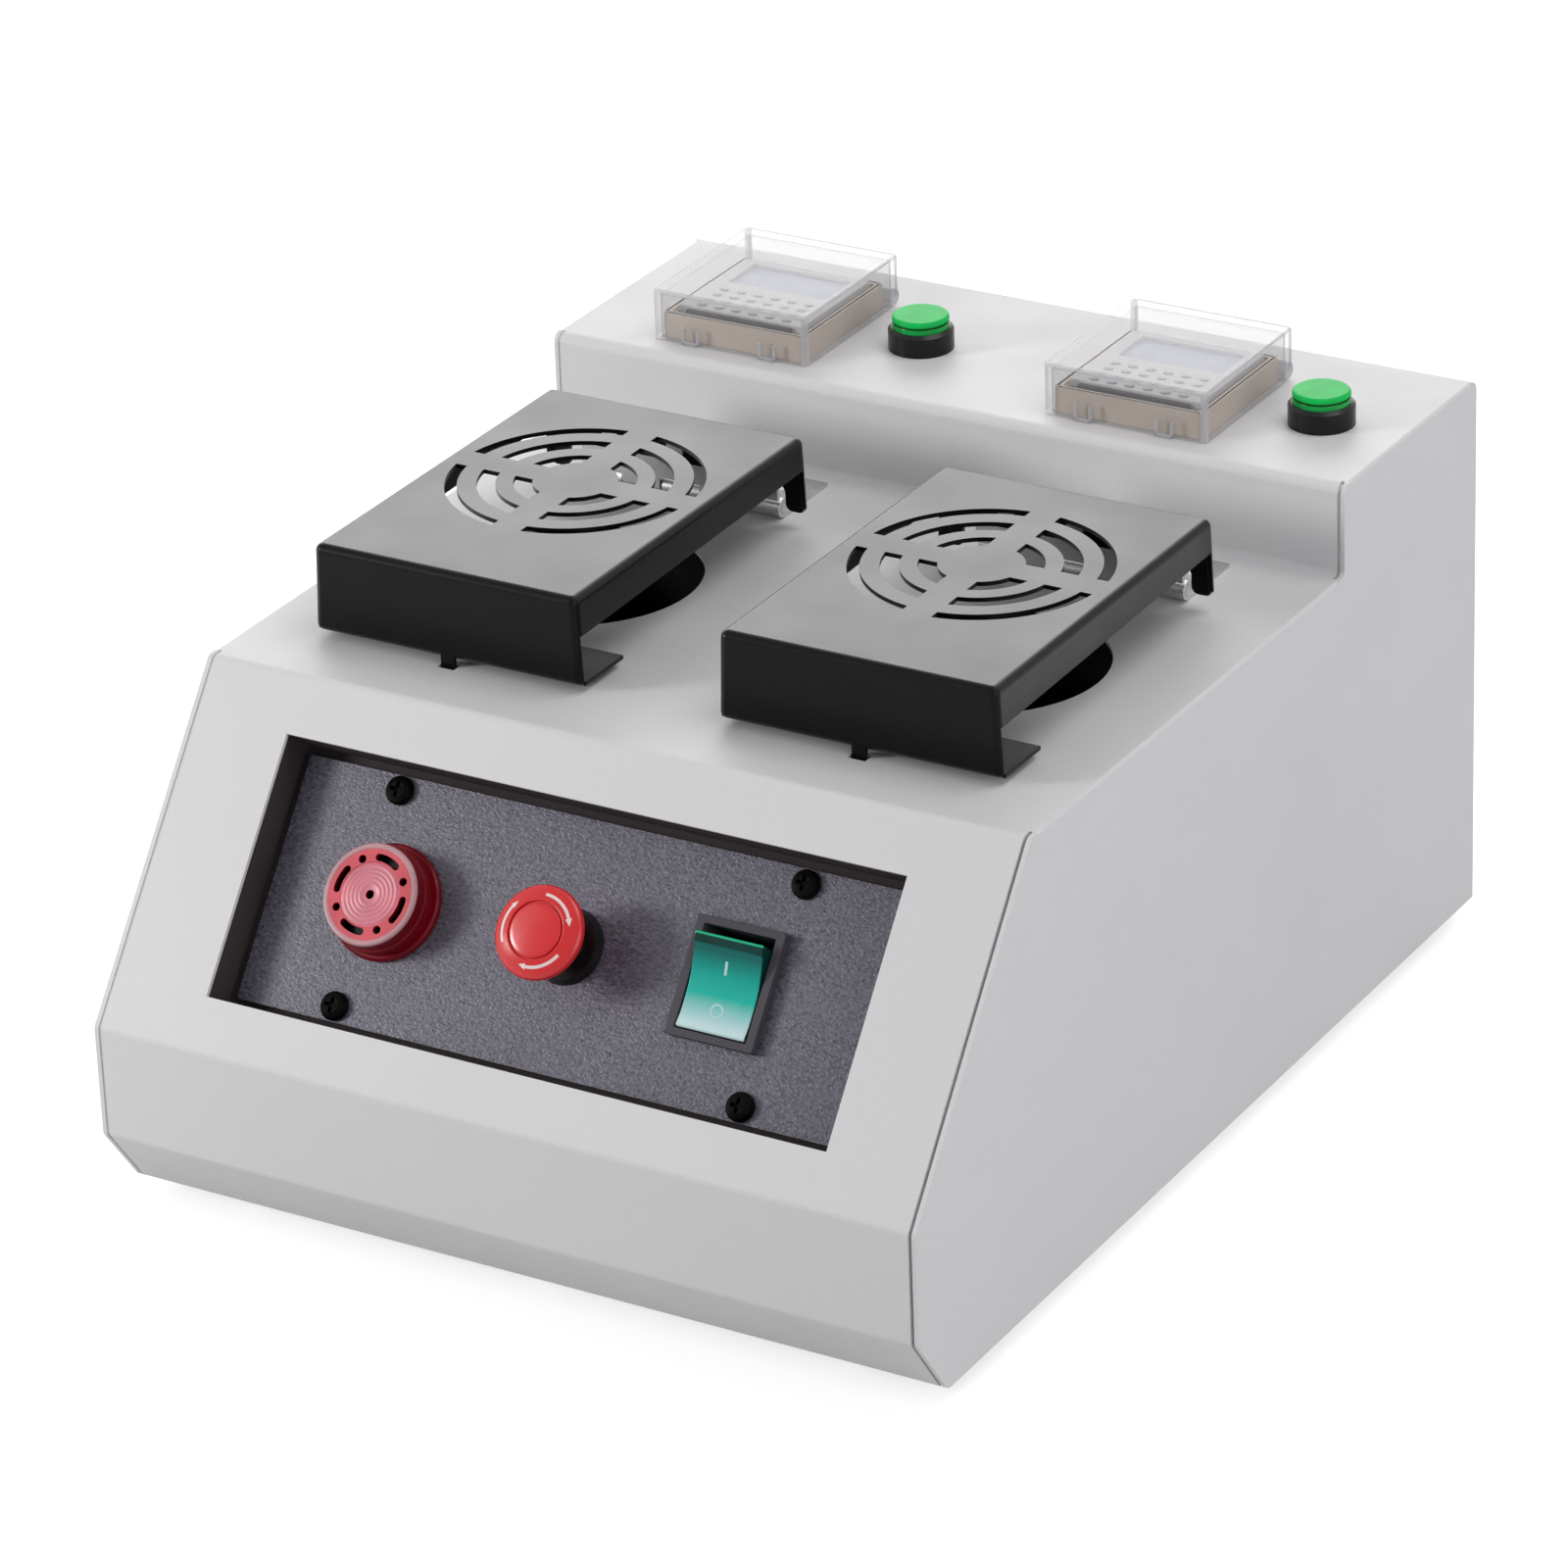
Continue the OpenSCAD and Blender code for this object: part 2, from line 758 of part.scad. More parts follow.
// Red cap with a centre hole, four arc slots and four small holes between them
module buzzer_lens() {
    draft = 0.5;
    color("red")
    housing_frame()
    on_slope(panel_depth)
    translate([buzzer_x, 0, 0])
    difference() {
        rotate_extrude($fn = 96)
            polygon([
                [sounder_r + fit, 0], [lens_flange_r, 0], [lens_flange_r, lens_flange_h - 0.5],
                [lens_flange_r - 0.5, lens_flange_h], [lens_r + draft, lens_flange_h],
                [lens_r, lens_h - 0.8], [lens_r - 0.8, lens_h], [0, lens_h],
                [0, lens_h - lens_wall], [sounder_r + fit, lens_h - lens_wall]
            ]);
        translate([0, 0, lens_h - 2 * lens_wall]) {
            cylinder(3 * lens_wall, r = 1.2, $fn = 24);
            for (k = [0 : 3])
                rotate([0, 0, sound_turn + 90 * k]) {
                    translate([sound_r, 0, 0]) cylinder(3 * lens_wall, r = 1.1, $fn = 24);
                    rotate([0, 0, 45 - slot_sweep / 2])
                        rotate_extrude(angle = slot_sweep, $fn = 96)
                            translate([sound_r - slot_half, 0]) square([2 * slot_half, 3 * lens_wall]);
                    for (a = [45 - slot_sweep / 2, 45 + slot_sweep / 2])
                        rotate([0, 0, a])
                            translate([sound_r, 0, 0]) cylinder(3 * lens_wall, r = slot_half, $fn = 24);
                }
        }
    }
}

// Hexagonal ring nut behind the panel
module ring_nut(across_flats, inner, h) {
    difference() {
        cylinder(h, r = across_flats / 2 / cos(30), $fn = 6);
        translate([0, 0, -eps]) cylinder(h + 2 * eps, r = inner);
    }
}

module buzzer_nut() {
    color("black")
    housing_frame()
    on_slope(panel_depth + panel_t + buzzer_nut_h)
    translate([buzzer_x, 0, 0]) ring_nut(buzzer_nut_flats, buzzer_thread_r + slide_fit, buzzer_nut_h);
}

// ---- emergency stop ----

stop_thread_r = stop_hole_r - 0.2;
stop_collar_r = 10;
stop_collar_h = 3;
stop_len = 22;
stop_block = [18, 18, 20];
stop_stem_r = 4.2;
stop_stem_len = 18;
stop_neck_r = 6.4;
stop_pin_r = 3;
stop_pin_h = 5;
stop_skirt_z = stop_collar_h + stop_travel + 0.6;
stop_nut_h = 3.5;

module stop_body() {
    color("black")
    housing_frame()
    on_slope(panel_depth)
    difference() {
        union() {
            cylinder(stop_collar_h, r1 = stop_collar_r, r2 = stop_collar_r - 0.8);
            translate([0, 0, -stop_len]) cylinder(stop_len, r = stop_thread_r);
            translate([-stop_block[0] / 2, -stop_block[1] / 2, -stop_len - stop_block[2]])
                cube(stop_block);
        }
        translate([0, 0, -stop_stem_len - stop_travel - 1])
            cylinder(2 * stop_stem_len, r = stop_stem_r + slide_fit);
    }
}

module stop_nut() {
    color("black")
    housing_frame()
    on_slope(panel_depth + panel_t + stop_nut_h)
        ring_nut(small_nut_flats, stop_thread_r + slide_fit, stop_nut_h);
}

// Sliding stem with the pin that the head turns on
module stop_plunger() {
    color("silver")
    housing_frame()
    on_slope(panel_depth)
    union() {
        translate([0, 0, -stop_stem_len]) cylinder(stop_stem_len + stop_skirt_z - fit, r = stop_stem_r);
        cylinder(stop_skirt_z + stop_pin_h, r = stop_pin_r);
    }
}

// Mushroom head: dished skirt, round rim, crowned centre disc in a groove
module stop_head() {
    disc_r = 7.1;
    rim_z = stop_h - 3.4;
    color("red")
    housing_frame()
    on_slope(panel_depth)
    difference() {
        rotate_extrude($fn = 96)
            polygon([
                [0, stop_skirt_z], [stop_neck_r, stop_skirt_z], [stop_neck_r + 0.4, stop_skirt_z + 1.6],
                [stop_r - 2.6, rim_z - 2.6], [stop_r - 0.5, rim_z - 1.4], [stop_r, rim_z - 0.4],
                [stop_r - 0.1, rim_z + 0.6], [stop_r - 0.8, rim_z + 1.8], [stop_r - 2.1, rim_z + 2.6],
                [disc_r + 0.9, stop_h - 0.5], [disc_r + 0.6, stop_h - 1.1], [disc_r, stop_h - 1.1],
                [disc_r - 0.3, stop_h - 0.5], [disc_r - 1.2, stop_h - 0.15], [0, stop_h]
            ]);
        translate([0, 0, stop_skirt_z - eps])
            cylinder(stop_pin_h + fit, r = stop_pin_r + pin_fit);
    }
}

// ---- power rocker ----

rocker_w = 19.6;
rocker_l = 24.2;
rocker_body_h = 20;
rocker_axis_z = -2;
rocker_axis_r = 1.5;
rocker_rest = -rocker_swing / 2;
rocker_gap = 0.4;
rocker_tab_y = 8;

module rocker_frame() {
    color("black")
    housing_frame()
    on_slope(panel_depth)
    translate([rocker_x, 0, 0])
    difference() {
        union() {
            plate(rocker_frame_w, rocker_frame_h, rocker_frame_t, 0.8);
            translate([0, 0, -rocker_body_h]) plate(rocker_hole_w - 0.2, rocker_hole_h - 0.2, rocker_body_h);
            for (y = [-rocker_tab_y, 0, rocker_tab_y])
                translate([0, y, -rocker_body_h - tab_len]) plate(tab_w, tab_t, tab_len + eps);
        }
        translate([0, 0, -rocker_body_h + 4])
            plate(rocker_w + 2 * rocker_gap, rocker_l + 2.6, rocker_body_h + rocker_frame_t);
        translate([0, 0, rocker_axis_z])
            rotate([0, 90, 0])
                cylinder(rocker_w + 1.4, r = rocker_axis_r + slide_fit, center = true, $fn = 32);
    }
}

// Rocker with two faces that meet in a shallow V, an open back and two trunnions
module power_rocker() {
    half = rocker_l / 2;
    face_h = 6.4;
    valley_h = 5;
    skirt = -4;
    color("seagreen")
    housing_frame()
    on_slope(panel_depth)
    translate([rocker_x, 0, rocker_axis_z])
    rotate([-rocker_rest, 0, 0]) {
        rotate([90, 0, 90])
            linear_extrude(rocker_w, center = true)
                polygon([
                    [-half + 2.6, skirt], [half - 2.6, skirt], [half - 0.6, valley_h],
                    [half, face_h + 0.6], [half - 0.8, face_h + 1.2], [0, valley_h],
                    [-half + 0.8, face_h + 1.2], [-half, face_h + 0.6], [-half + 0.6, valley_h]
                ]);
        rotate([0, 90, 0]) cylinder(rocker_w + 1.2, r = rocker_axis_r, center = true, $fn = 32);
    }
}

// ---- wells ----

cup_flange_r = well_r + cup_wall + 4.5;

module well_cup(side) {
    color("black")
    housing_frame()
    station(side)
    translate([0, well_y, deck_z - sheet_t - well_depth])
    difference() {
        union() {
            cylinder(well_depth, r = well_r + cup_wall, $fn = 96);
            translate([0, 0, well_depth - cup_wall]) cylinder(cup_wall, r = cup_flange_r, $fn = 96);
        }
        translate([0, 0, cup_wall]) cylinder(well_depth, r = well_r, $fn = 96);
        for (a = [0 : 60 : 300])
            rotate([0, 0, a])
                translate([well_r * 0.6, 0, -eps]) cylinder(2 * cup_wall, r = 3, $fn = 24);
    }
}

module left_well_cup() {
    well_cup(LEFT);
}

module right_well_cup() {
    well_cup(RIGHT);
}

bumper_r = 4;
bumper_x = 27;

module lid_bumpers() {
    color("dimgray")
    housing_frame()
    on_deck()
    for (side = [LEFT, RIGHT])
        station(side)
        for (x = [-bumper_x, bumper_x])
            translate([x, lid_front + lid_lip / 2, 0]) cylinder(lid_gap - fit, r = bumper_r, $fn = 32);
}

// ---- lids ----

leg_w = 6;
leg_round = 2;
window_z = 12.3;
window_round = 3;
leg_z = 4.6;
rivet_x = [-20, 0, 20];
rivet_z = 3 + leaf_up - 4;
rivet_r = 1.5;

// Side view of the lid: lip, front wall, top, rear wall
lid_path = [
    [lid_front + lid_lip, lid_gap], [lid_front, lid_gap], [lid_front, lid_h],
    [lid_back, lid_h], [lid_back, leg_z]
];
// Front view of the lid between its front and rear walls
lid_section = [
    [-lid_w / 2, lid_h - lid_flange], [-lid_w / 2, lid_h], [lid_w / 2, lid_h],
    [lid_w / 2, lid_h - lid_flange]
];

// One slot ring, broken by the four spokes
module slot_ring(outer, slot, h) {
    difference() {
        ring(outer, outer - slot, h, $fn = 96);
        for (a = [0, 90])
            rotate([0, 0, a]) cube([3 * outer, spoke_w, 4 * h], center = true);
    }
}

module grille(h) {
    for (k = [0 : len(grille_r) - 1])
        slot_ring(grille_r[k], grille_slot[k], h);
}

// Rear view of the rear wall: a band with a leg at each end, rounded at its foot
module rear_wall_outline() {
    translate([-lid_w / 2, window_z]) square([lid_w, lid_h]);
    for (side = [LEFT, RIGHT])
        translate([side * (lid_w - leg_w) / 2, leg_z]) {
            translate([-leg_w / 2, leg_round]) square([leg_w, lid_h / 2]);
            translate([leg_round - leg_w / 2, 0]) square([leg_w - 2 * leg_round, lid_h / 2]);
            for (x = [-1, 1])
                translate([x * (leg_w / 2 - leg_round), leg_round]) circle(leg_round, $fn = 32);
        }
    for (side = [LEFT, RIGHT])
        translate([side * (lid_w / 2 - leg_w), window_z])
            difference() {
                translate([-window_round, -window_round]) square(2 * window_round);
                translate([-side * window_round, -window_round]) circle(window_round, $fn = 32);
                translate([-side * window_round - window_round, -2 * window_round])
                    square([2 * window_round, window_round]);
            }
}

// Front wall and lip, spreading towards the lower edge
module lid_front_wall() {
    intersection() {
        across(lid_w + 2 * lid_flare) polygon(strip(lid_path, lid_t, lid_bend_r));
        translate([0, lid_front + lid_lip + 1, 0])
            rotate([90, 0, 0])
                linear_extrude(lid_lip + 2)
                    polygon([
                        [-lid_w / 2, lid_h + 1], [lid_w / 2, lid_h + 1],
                        [lid_w / 2, lid_h - lid_bend_r], [lid_w / 2 + lid_flare, lid_gap],
                        [-lid_w / 2 - lid_flare, lid_gap], [-lid_w / 2, lid_h - lid_bend_r]
                    ]);
        union() {
            translate([-lid_w, lid_front, 0]) cube([2 * lid_w, lid_bend_r, 2 * lid_h]);
            translate([-lid_w, lid_front, 0]) cube([2 * lid_w, 2 * lid_lip, lid_h / 2]);
        }
    }
}

module lid_rear_wall() {
    intersection() {
        across(lid_w) polygon(strip(lid_path, lid_t, lid_bend_r));
        translate([0, lid_back + 1, 0])
            rotate([90, 0, 0])
                linear_extrude(lid_bend_r + 1) rear_wall_outline();
    }
}

// Top with its side flanges, which are deeper at the front
module lid_top() {
    difference() {
        translate([0, lid_back - lid_t, 0])
            rotate([90, 0, 0])
                linear_extrude(lid_back - lid_front - 2 * lid_t)
                    polygon(strip(lid_section, lid_t, lid_bend_r));
        across(2 * lid_w)
            polygon([
                [lid_front, lid_h - lid_flange], [lid_back, lid_h - lid_flange_rear],
                [lid_back, 0], [lid_front, 0]
            ]);
    }
}

module lid(side) {
    color("black")
    housing_frame()
    on_deck()
    station(side)
    difference() {
        union() {
            lid_front_wall();
            lid_rear_wall();
            lid_top();
            translate([-tongue_w / 2, lid_front, -tongue_drop])
                cube([tongue_w, lid_t, tongue_drop + lid_h / 2]);
        }
        translate([0, well_y, lid_h - 2 * lid_t]) grille(3 * lid_t);
        translate([0, lid_front - lid_t, latch_z])
            rotate([-90, 0, 0]) cylinder(3 * lid_t, r = latch_pin_r + fit, $fn = 32);
        for (x = rivet_x)
            translate([x, lid_back + lid_t, rivet_z])
                rotate([90, 0, 0]) cylinder(3 * lid_t, r = rivet_r + slide_fit, $fn = 24);
    }
}

module left_lid() {
    lid(LEFT);
}

module right_lid() {
    lid(RIGHT);
}

// ---- hinges ----

knuckles = 5;
knuckle_gap = 0.3;
knuckle_pitch = hinge_w / knuckles;
knuckle_w = knuckle_pitch - knuckle_gap;

// Barrels k of the hinge, counted from the left
module barrels(picked) {
    for (k = picked)
        translate([(k - (knuckles - 1) / 2) * knuckle_pitch, axis_y, axis_z])
            rotate([0, 90, 0])
                cylinder(knuckle_w, r = barrel_r, center = true, $fn = 32);
}

module pin_bore() {
    translate([0, axis_y, axis_z])
        rotate([0, 90, 0])
            cylinder(hinge_w + 2, r = pin_r + pin_fit, center = true, $fn = 32);
}

// Room for the barrels k of the other leaf
module barrel_room(picked) {
    for (k = picked)
        translate([(k - (knuckles - 1) / 2) * knuckle_pitch, axis_y, axis_z])
            cube([knuckle_pitch + knuckle_gap, 2 * (barrel_r + fit), 2 * (barrel_r + fit)], center = true);
}

base_barrels = [0, 2, 4];
lid_barrels = [1, 3];

module hinge_base(side) {
    color("silver")
    housing_frame()
    station(side)
    difference() {
        union() {
            barrels(base_barrels);
            difference() {
                translate([-hinge_w / 2 + knuckle_gap / 2, axis_y, deck_z])
                    cube([hinge_w - knuckle_gap, leaf_len, leaf_t]);
                barrel_room(lid_barrels);
            }
        }
        pin_bore();
        for (x = leaf_screw_x)
            translate([x, leaf_screw_y, deck_z - 1])
                cylinder(2 + leaf_t, r = m3_r + hole_fit, $fn = 24);
    }
}

module left_hinge_base() {
    hinge_base(LEFT);
}

module right_hinge_base() {
    hinge_base(RIGHT);
}

// Upright leaf on the lid's rear wall, with its barrels
module hinge_leaf(side) {
    color("silver")
    housing_frame()
    station(side)
    difference() {
        union() {
            barrels(lid_barrels);
            difference() {
                translate([-hinge_w / 2 + knuckle_gap / 2, lid_back, axis_z])
                    cube([hinge_w - knuckle_gap, leaf_t, leaf_up]);
                barrel_room(base_barrels);
            }
        }
        pin_bore();
        for (x = rivet_x)
            translate([x, lid_back + 2 * leaf_t, deck_z + rivet_z])
                rotate([90, 0, 0]) cylinder(3 * leaf_t, r = rivet_r + slide_fit, $fn = 24);
    }
}

module left_hinge_leaf() {
    hinge_leaf(LEFT);
}

module right_hinge_leaf() {
    hinge_leaf(RIGHT);
}

module hinge_pin(side) {
    color("silver")
    housing_frame()
    station(side)
    translate([0, axis_y, axis_z])
        rotate([0, 90, 0])
            cylinder(hinge_w - knuckle_gap, r = pin_r, center = true, $fn = 32);
}

module left_hinge_pin() {
    hinge_pin(LEFT);
}

module right_hinge_pin() {
    hinge_pin(RIGHT);
}

// Rivets through the lid's rear wall and the upright leaf
module lid_rivets(side) {
    head_r = 2.6;
    head_h = 0.9;
    color("silver")
    housing_frame()
    station(side)
    for (x = rivet_x)
        translate([x, lid_back, deck_z + rivet_z])
            rotate([-90, 0, 0]) {
                translate([0, 0, -lid_t - head_h]) cylinder(head_h, r = head_r, $fn = 32);
                translate([0, 0, -lid_t - eps]) cylinder(lid_t + leaf_t + 2 * eps, r = rivet_r, $fn = 32);
                translate([0, 0, leaf_t]) cylinder(head_h, r1 = head_r, r2 = head_r - 0.7, $fn = 32);
            }
}

module left_lid_rivets() {
    lid_rivets(LEFT);
}

module right_lid_rivets() {
    lid_rivets(RIGHT);
}

module hinge_screws() {
    low_head = 1.1;
    color("silver")
    housing_frame()
    for (side = [LEFT, RIGHT])
        station(side)
        for (x = leaf_screw_x)
            translate([x, leaf_screw_y, deck_z + leaf_t])
                screw(m3_r, m3_head_r, low_head, leaf_t + sheet_t + 3);
}

// ---- lid latches ----

latch_z = -7.5;
latch_pin_r = 1.2;
latch_throw = 4.5;
latch_rest = 1;
latch_front = lid_front + lid_t + latch_rest + 1.2;
latch_len = 19;
latch_size = 14;
latch_wall = 1.2;
coil_r = 5.2;
plunger_r = 2.4;

// Open steel frame under the deck with the coil in it
module latch_solenoid(side) {
    color("silver")
    housing_frame()
    on_deck()
    station(side)
    translate([0, latch_front, latch_z])
    difference() {
        union() {
            translate([-latch_size / 2, 0, -sheet_t - latch_z - latch_wall])
                cube([latch_size, latch_len, latch_wall]);
            for (y = [0, latch_len - latch_wall])
                translate([-latch_size / 2, y, -latch_size / 2])
                    cube([latch_size, latch_wall, latch_size / 2 - sheet_t - latch_z]);
            rotate([-90, 0, 0]) cylinder(latch_len, r = coil_r, $fn = 48);
        }
        translate([0, -1, 0])
            rotate([-90, 0, 0]) cylinder(latch_len, r = plunger_r + slide_fit, $fn = 32);
    }
}

module left_latch_solenoid() {
    latch_solenoid(LEFT);
}

module right_latch_solenoid() {
    latch_solenoid(RIGHT);
}

// Plunger with the thin bolt that enters the tongue
module latch_plunger(side) {
    color("silver")
    housing_frame()
    on_deck()
    station(side)
    translate([0, lid_front + lid_t + latch_rest, latch_z])
        rotate([-90, 0, 0]) {
            cylinder(latch_len - latch_throw, r = latch_pin_r, $fn = 32);
            translate([0, 0, latch_throw + 2]) cylinder(latch_len - latch_throw - 4, r = plunger_r, $fn = 32);
        }
}

module left_latch_plunger() {
    latch_plunger(LEFT);
}

module right_latch_plunger() {
    latch_plunger(RIGHT);
}

// ---- timers ----

inner_l = cover_l - 2 * cover_t;
bezel_w = cover_w - 2 * cover_t - 2 * cover_gap;
bezel_front = timer_y - cover_l / 2 + cover_t + cover_gap;
bezel_back = cover_axis_y - cover_axis_r - fit;
bezel_l = bezel_back - bezel_front;
bezel_y = (bezel_front + bezel_back) / 2;
bezel_r = 1.2;
face_inset = 2.6;
face_w = bezel_w - 2 * face_inset;
face_l = bezel_l - 2 * face_inset;
face_t = 2.4;
face_rise = 1.2;
face_gap = 0.8;
rib_w = 26;
lcd_w = 30;
lcd_l = 14;
lcd_t = 0.8;
lcd_y = face_l / 4;
key_cols = 5;
key_rows = 2;
key_pitch = 6.2;
key_r = 1.7;
keypad_t = 0.5;
cover_stub_r = 1;
cover_stub_l = 4;

module timer_frame(side) {
    housing_frame() on_top() station(side) translate([timer_dx, 0, 0]) children();
}

// Case below the deck, bezel above it and the rear rib that carries the cover
module timer_case(side) {
    color("tan")
    timer_frame(side)
    difference() {
        union() {
            translate([0, bezel_y, 0]) plate(bezel_w, bezel_l, bezel_h, bezel_r);
            translate([0, bezel_y, -case_depth]) plate(case_w, case_w, case_depth + eps, 0.8);
            translate([-rib_w / 2, bezel_back - eps, 0])
                cube([rib_w, cover_axis_r + fit, cover_axis_z - top_z]);
            translate([0, cover_axis_y, cover_axis_z - top_z])
                rotate([0, 90, 0]) cylinder(rib_w, r = cover_axis_r, center = true, $fn = 32);
        }
        translate([0, bezel_y, bezel_h - face_t + face_rise])
            plate(face_w + 2 * face_gap, face_l + 2 * face_gap, face_t, 0.8);
        translate([0, cover_axis_y, cover_axis_z - top_z])
            rotate([0, 90, 0])
                cylinder(rib_w + 2, r = cover_stub_r + pin_fit, center = true, $fn = 24);
    }
}

module left_timer_case() {
    timer_case(LEFT);
}

module right_timer_case() {
    timer_case(RIGHT);
}

// Pale face plate with a window for the display and round holes for the keypad's domes
module timer_face(side) {
    color("white")
    timer_frame(side)
    translate([0, bezel_y, bezel_h - face_t + face_rise])
    difference() {
        plate(face_w, face_l, face_t, 0.8);
        translate([0, lcd_y, face_t - lcd_t]) plate(lcd_w + 0.2, lcd_l + 0.2, 2 * lcd_t);
        translate([0, 0, face_t - keypad_t]) key_grid() cylinder(2 * keypad_t, r = key_r + 0.2, $fn = 24);
    }
}

module left_timer_face() {
    timer_face(LEFT);
}

module right_timer_face() {
    timer_face(RIGHT);
}

module timer_lcd(side) {
    color("lightsteelblue")
    timer_frame(side)
    translate([0, bezel_y + lcd_y, bezel_h + face_rise - lcd_t]) plate(lcd_w, lcd_l, lcd_t);
}

module left_timer_lcd() {
    timer_lcd(LEFT);
}

module right_timer_lcd() {
    timer_lcd(RIGHT);
}

// Places of the keys on the front half of the face
module key_grid() {
    for (row = [0 : key_rows - 1])
        for (col = [0 : key_cols - 1])
            translate([
                (col - (key_cols - 1) / 2) * key_pitch,
                -face_l / 4 + (row - (key_rows - 1) / 2) * key_pitch,
                0
            ])
                children();
}

module timer_keypad(side) {
    color("gray")
    timer_frame(side)
    translate([0, bezel_y, bezel_h + face_rise - keypad_t])
        key_grid() {
            cylinder(keypad_t + 0.3, r = key_r, $fn = 24);
            translate([0, 0, keypad_t + 0.3 - eps]) cylinder(0.3, r1 = key_r, r2 = key_r - 0.5, $fn = 24);
        }
}

module left_timer_keypad() {
    timer_keypad(LEFT);
}

module right_timer_keypad() {
    timer_keypad(RIGHT);
}

clip_h = 6;
clip_wall = 3;

module timer_clips() {
    color("dimgray")
    for (side = [LEFT, RIGHT])
        timer_frame(side)
        translate([0, bezel_y, -sheet_t - clip_h])
        difference() {
            plate(case_w + 2 * clip_wall, case_w + 2 * clip_wall, clip_h);
            translate([0, 0, -eps]) plate(case_w + 0.2, case_w + 0.2, clip_h + 2 * eps, 0.8);
        }
}

// Clear box: four walls and a top, rear barrels with stub pins, two clips on the front wall
module timer_cover(side) {
    cover_low = fit;
    barrel_x = rib_w / 2 + fit;
    barrel_l = cover_w / 2 - barrel_x;
    color("white", 0.35)
    timer_frame(side)
    difference() {
        union() {
            difference() {
                translate([0, timer_y, cover_low]) plate(cover_w, cover_l, cover_h - cover_low, 1.5);
                translate([0, timer_y, -1]) plate(cover_w - 2 * cover_t, inner_l, cover_h - cover_t + 1, 0.8);
                // the rear wall stops above the barrels
                translate([-cover_w, cover_axis_y - cover_axis_r, -1])
                    cube([2 * cover_w, 3 * cover_axis_r, cover_axis_z - top_z + 1]);
                // room for the rib
                translate([-rib_w / 2 - fit, cover_axis_y - cover_axis_r, -1])
                    cube([rib_w + 2 * fit, 3 * cover_axis_r, cover_axis_z - top_z + cover_axis_r + fit + 1]);
            }
            for (s = [-1, 1]) {
                translate([s * (barrel_x + barrel_l / 2), cover_axis_y, cover_axis_z - top_z])
                    rotate([0, 90, 0])
                        cylinder(barrel_l, r = cover_axis_r, center = true, $fn = 32);
                translate([s * (barrel_x - cover_stub_l / 2 + eps), cover_axis_y, cover_axis_z - top_z])
                    rotate([0, 90, 0])
                        cylinder(cover_stub_l + 2 * eps, r = cover_stub_r, center = true, $fn = 24);
                translate([s * cover_w / 4, timer_y - cover_l / 2, 0])
                    cover_clip();
            }
        }
        for (s = [-1, 1])
            translate([s * cover_w / 4, timer_y - cover_l / 2, 3.4])
                cube([3, cover_t * 4, 1.2], center = true);
    }
}

// Snap clip outside the front wall: two short ribs beside its window
module cover_clip() {
    rib = 0.9;
    for (x = [-2.2, 2.2])
        translate([x - rib / 2, -rib, fit]) cube([rib, rib + eps, 4.6]);
}

module left_timer_cover() {
    timer_cover(LEFT);
}

module right_timer_cover() {
    timer_cover(RIGHT);
}

// ---- start buttons ----

button_len = 26;
button_bore_r = button_cap_r + slide_fit;
button_stem_r = 3;
button_nut_h = 4;
button_tab_x = 4;
button_tab_w = 2.8;

module button_frame(side) {
    housing_frame() on_top() station(side) translate([button_dx, button_y, 0]) children();
}

module button_body(side) {
    well = button_cap_h - 1;
    color("black")
    button_frame(side)
    difference() {
        union() {
            rotate_extrude($fn = 96)
                polygon([
                    [0, 0], [button_r, 0], [button_r, button_bezel_h - 0.9],
                    [button_r - 0.9, button_bezel_h], [0, button_bezel_h]
                ]);
            translate([0, 0, -button_len]) cylinder(button_len + eps, r = button_barrel_r);
            for (x = [-button_tab_x, button_tab_x])
                translate([x, 0, -button_len - tab_len]) plate(tab_t, button_tab_w, tab_len + eps);
        }
        translate([0, 0, button_cap_h - well - button_travel - 1]) cylinder(button_len, r = button_bore_r, $fn = 96);
        translate([0, 0, -button_len + 6]) cylinder(button_len, r = button_stem_r + slide_fit, $fn = 32);
    }
}

module left_button_body() {
    button_body(LEFT);
}

module right_button_body() {
    button_body(RIGHT);
}

// Cap with a shallow groove below its crown, on a stem
module start_button(side) {
    cap_low = 1;
    color("limegreen")
    button_frame(side) {
        rotate_extrude($fn = 96)
            polygon([
                [0, cap_low], [button_cap_r, cap_low], [button_cap_r, button_cap_h - 1.8],
                [button_cap_r - 0.35, button_cap_h - 1.5], [button_cap_r - 0.35, button_cap_h - 1.2],
                [button_cap_r, button_cap_h - 0.9], [button_cap_r, button_cap_h - 0.4],
                [button_cap_r - 0.5, button_cap_h], [0, button_cap_h]
            ]);
        translate([0, 0, -button_len / 2]) cylinder(button_len / 2 + cap_low + eps, r = button_stem_r, $fn = 32);
    }
}

module left_start_button() {
    start_button(LEFT);
}

module right_start_button() {
    start_button(RIGHT);
}

module button_nuts() {
    color("black")
    for (side = [LEFT, RIGHT])
        button_frame(side)
        translate([0, 0, -sheet_t - button_nut_h])
            ring_nut(small_nut_flats, button_barrel_r + slide_fit, button_nut_h);
}

// ---- rear inlet and inner pieces ----

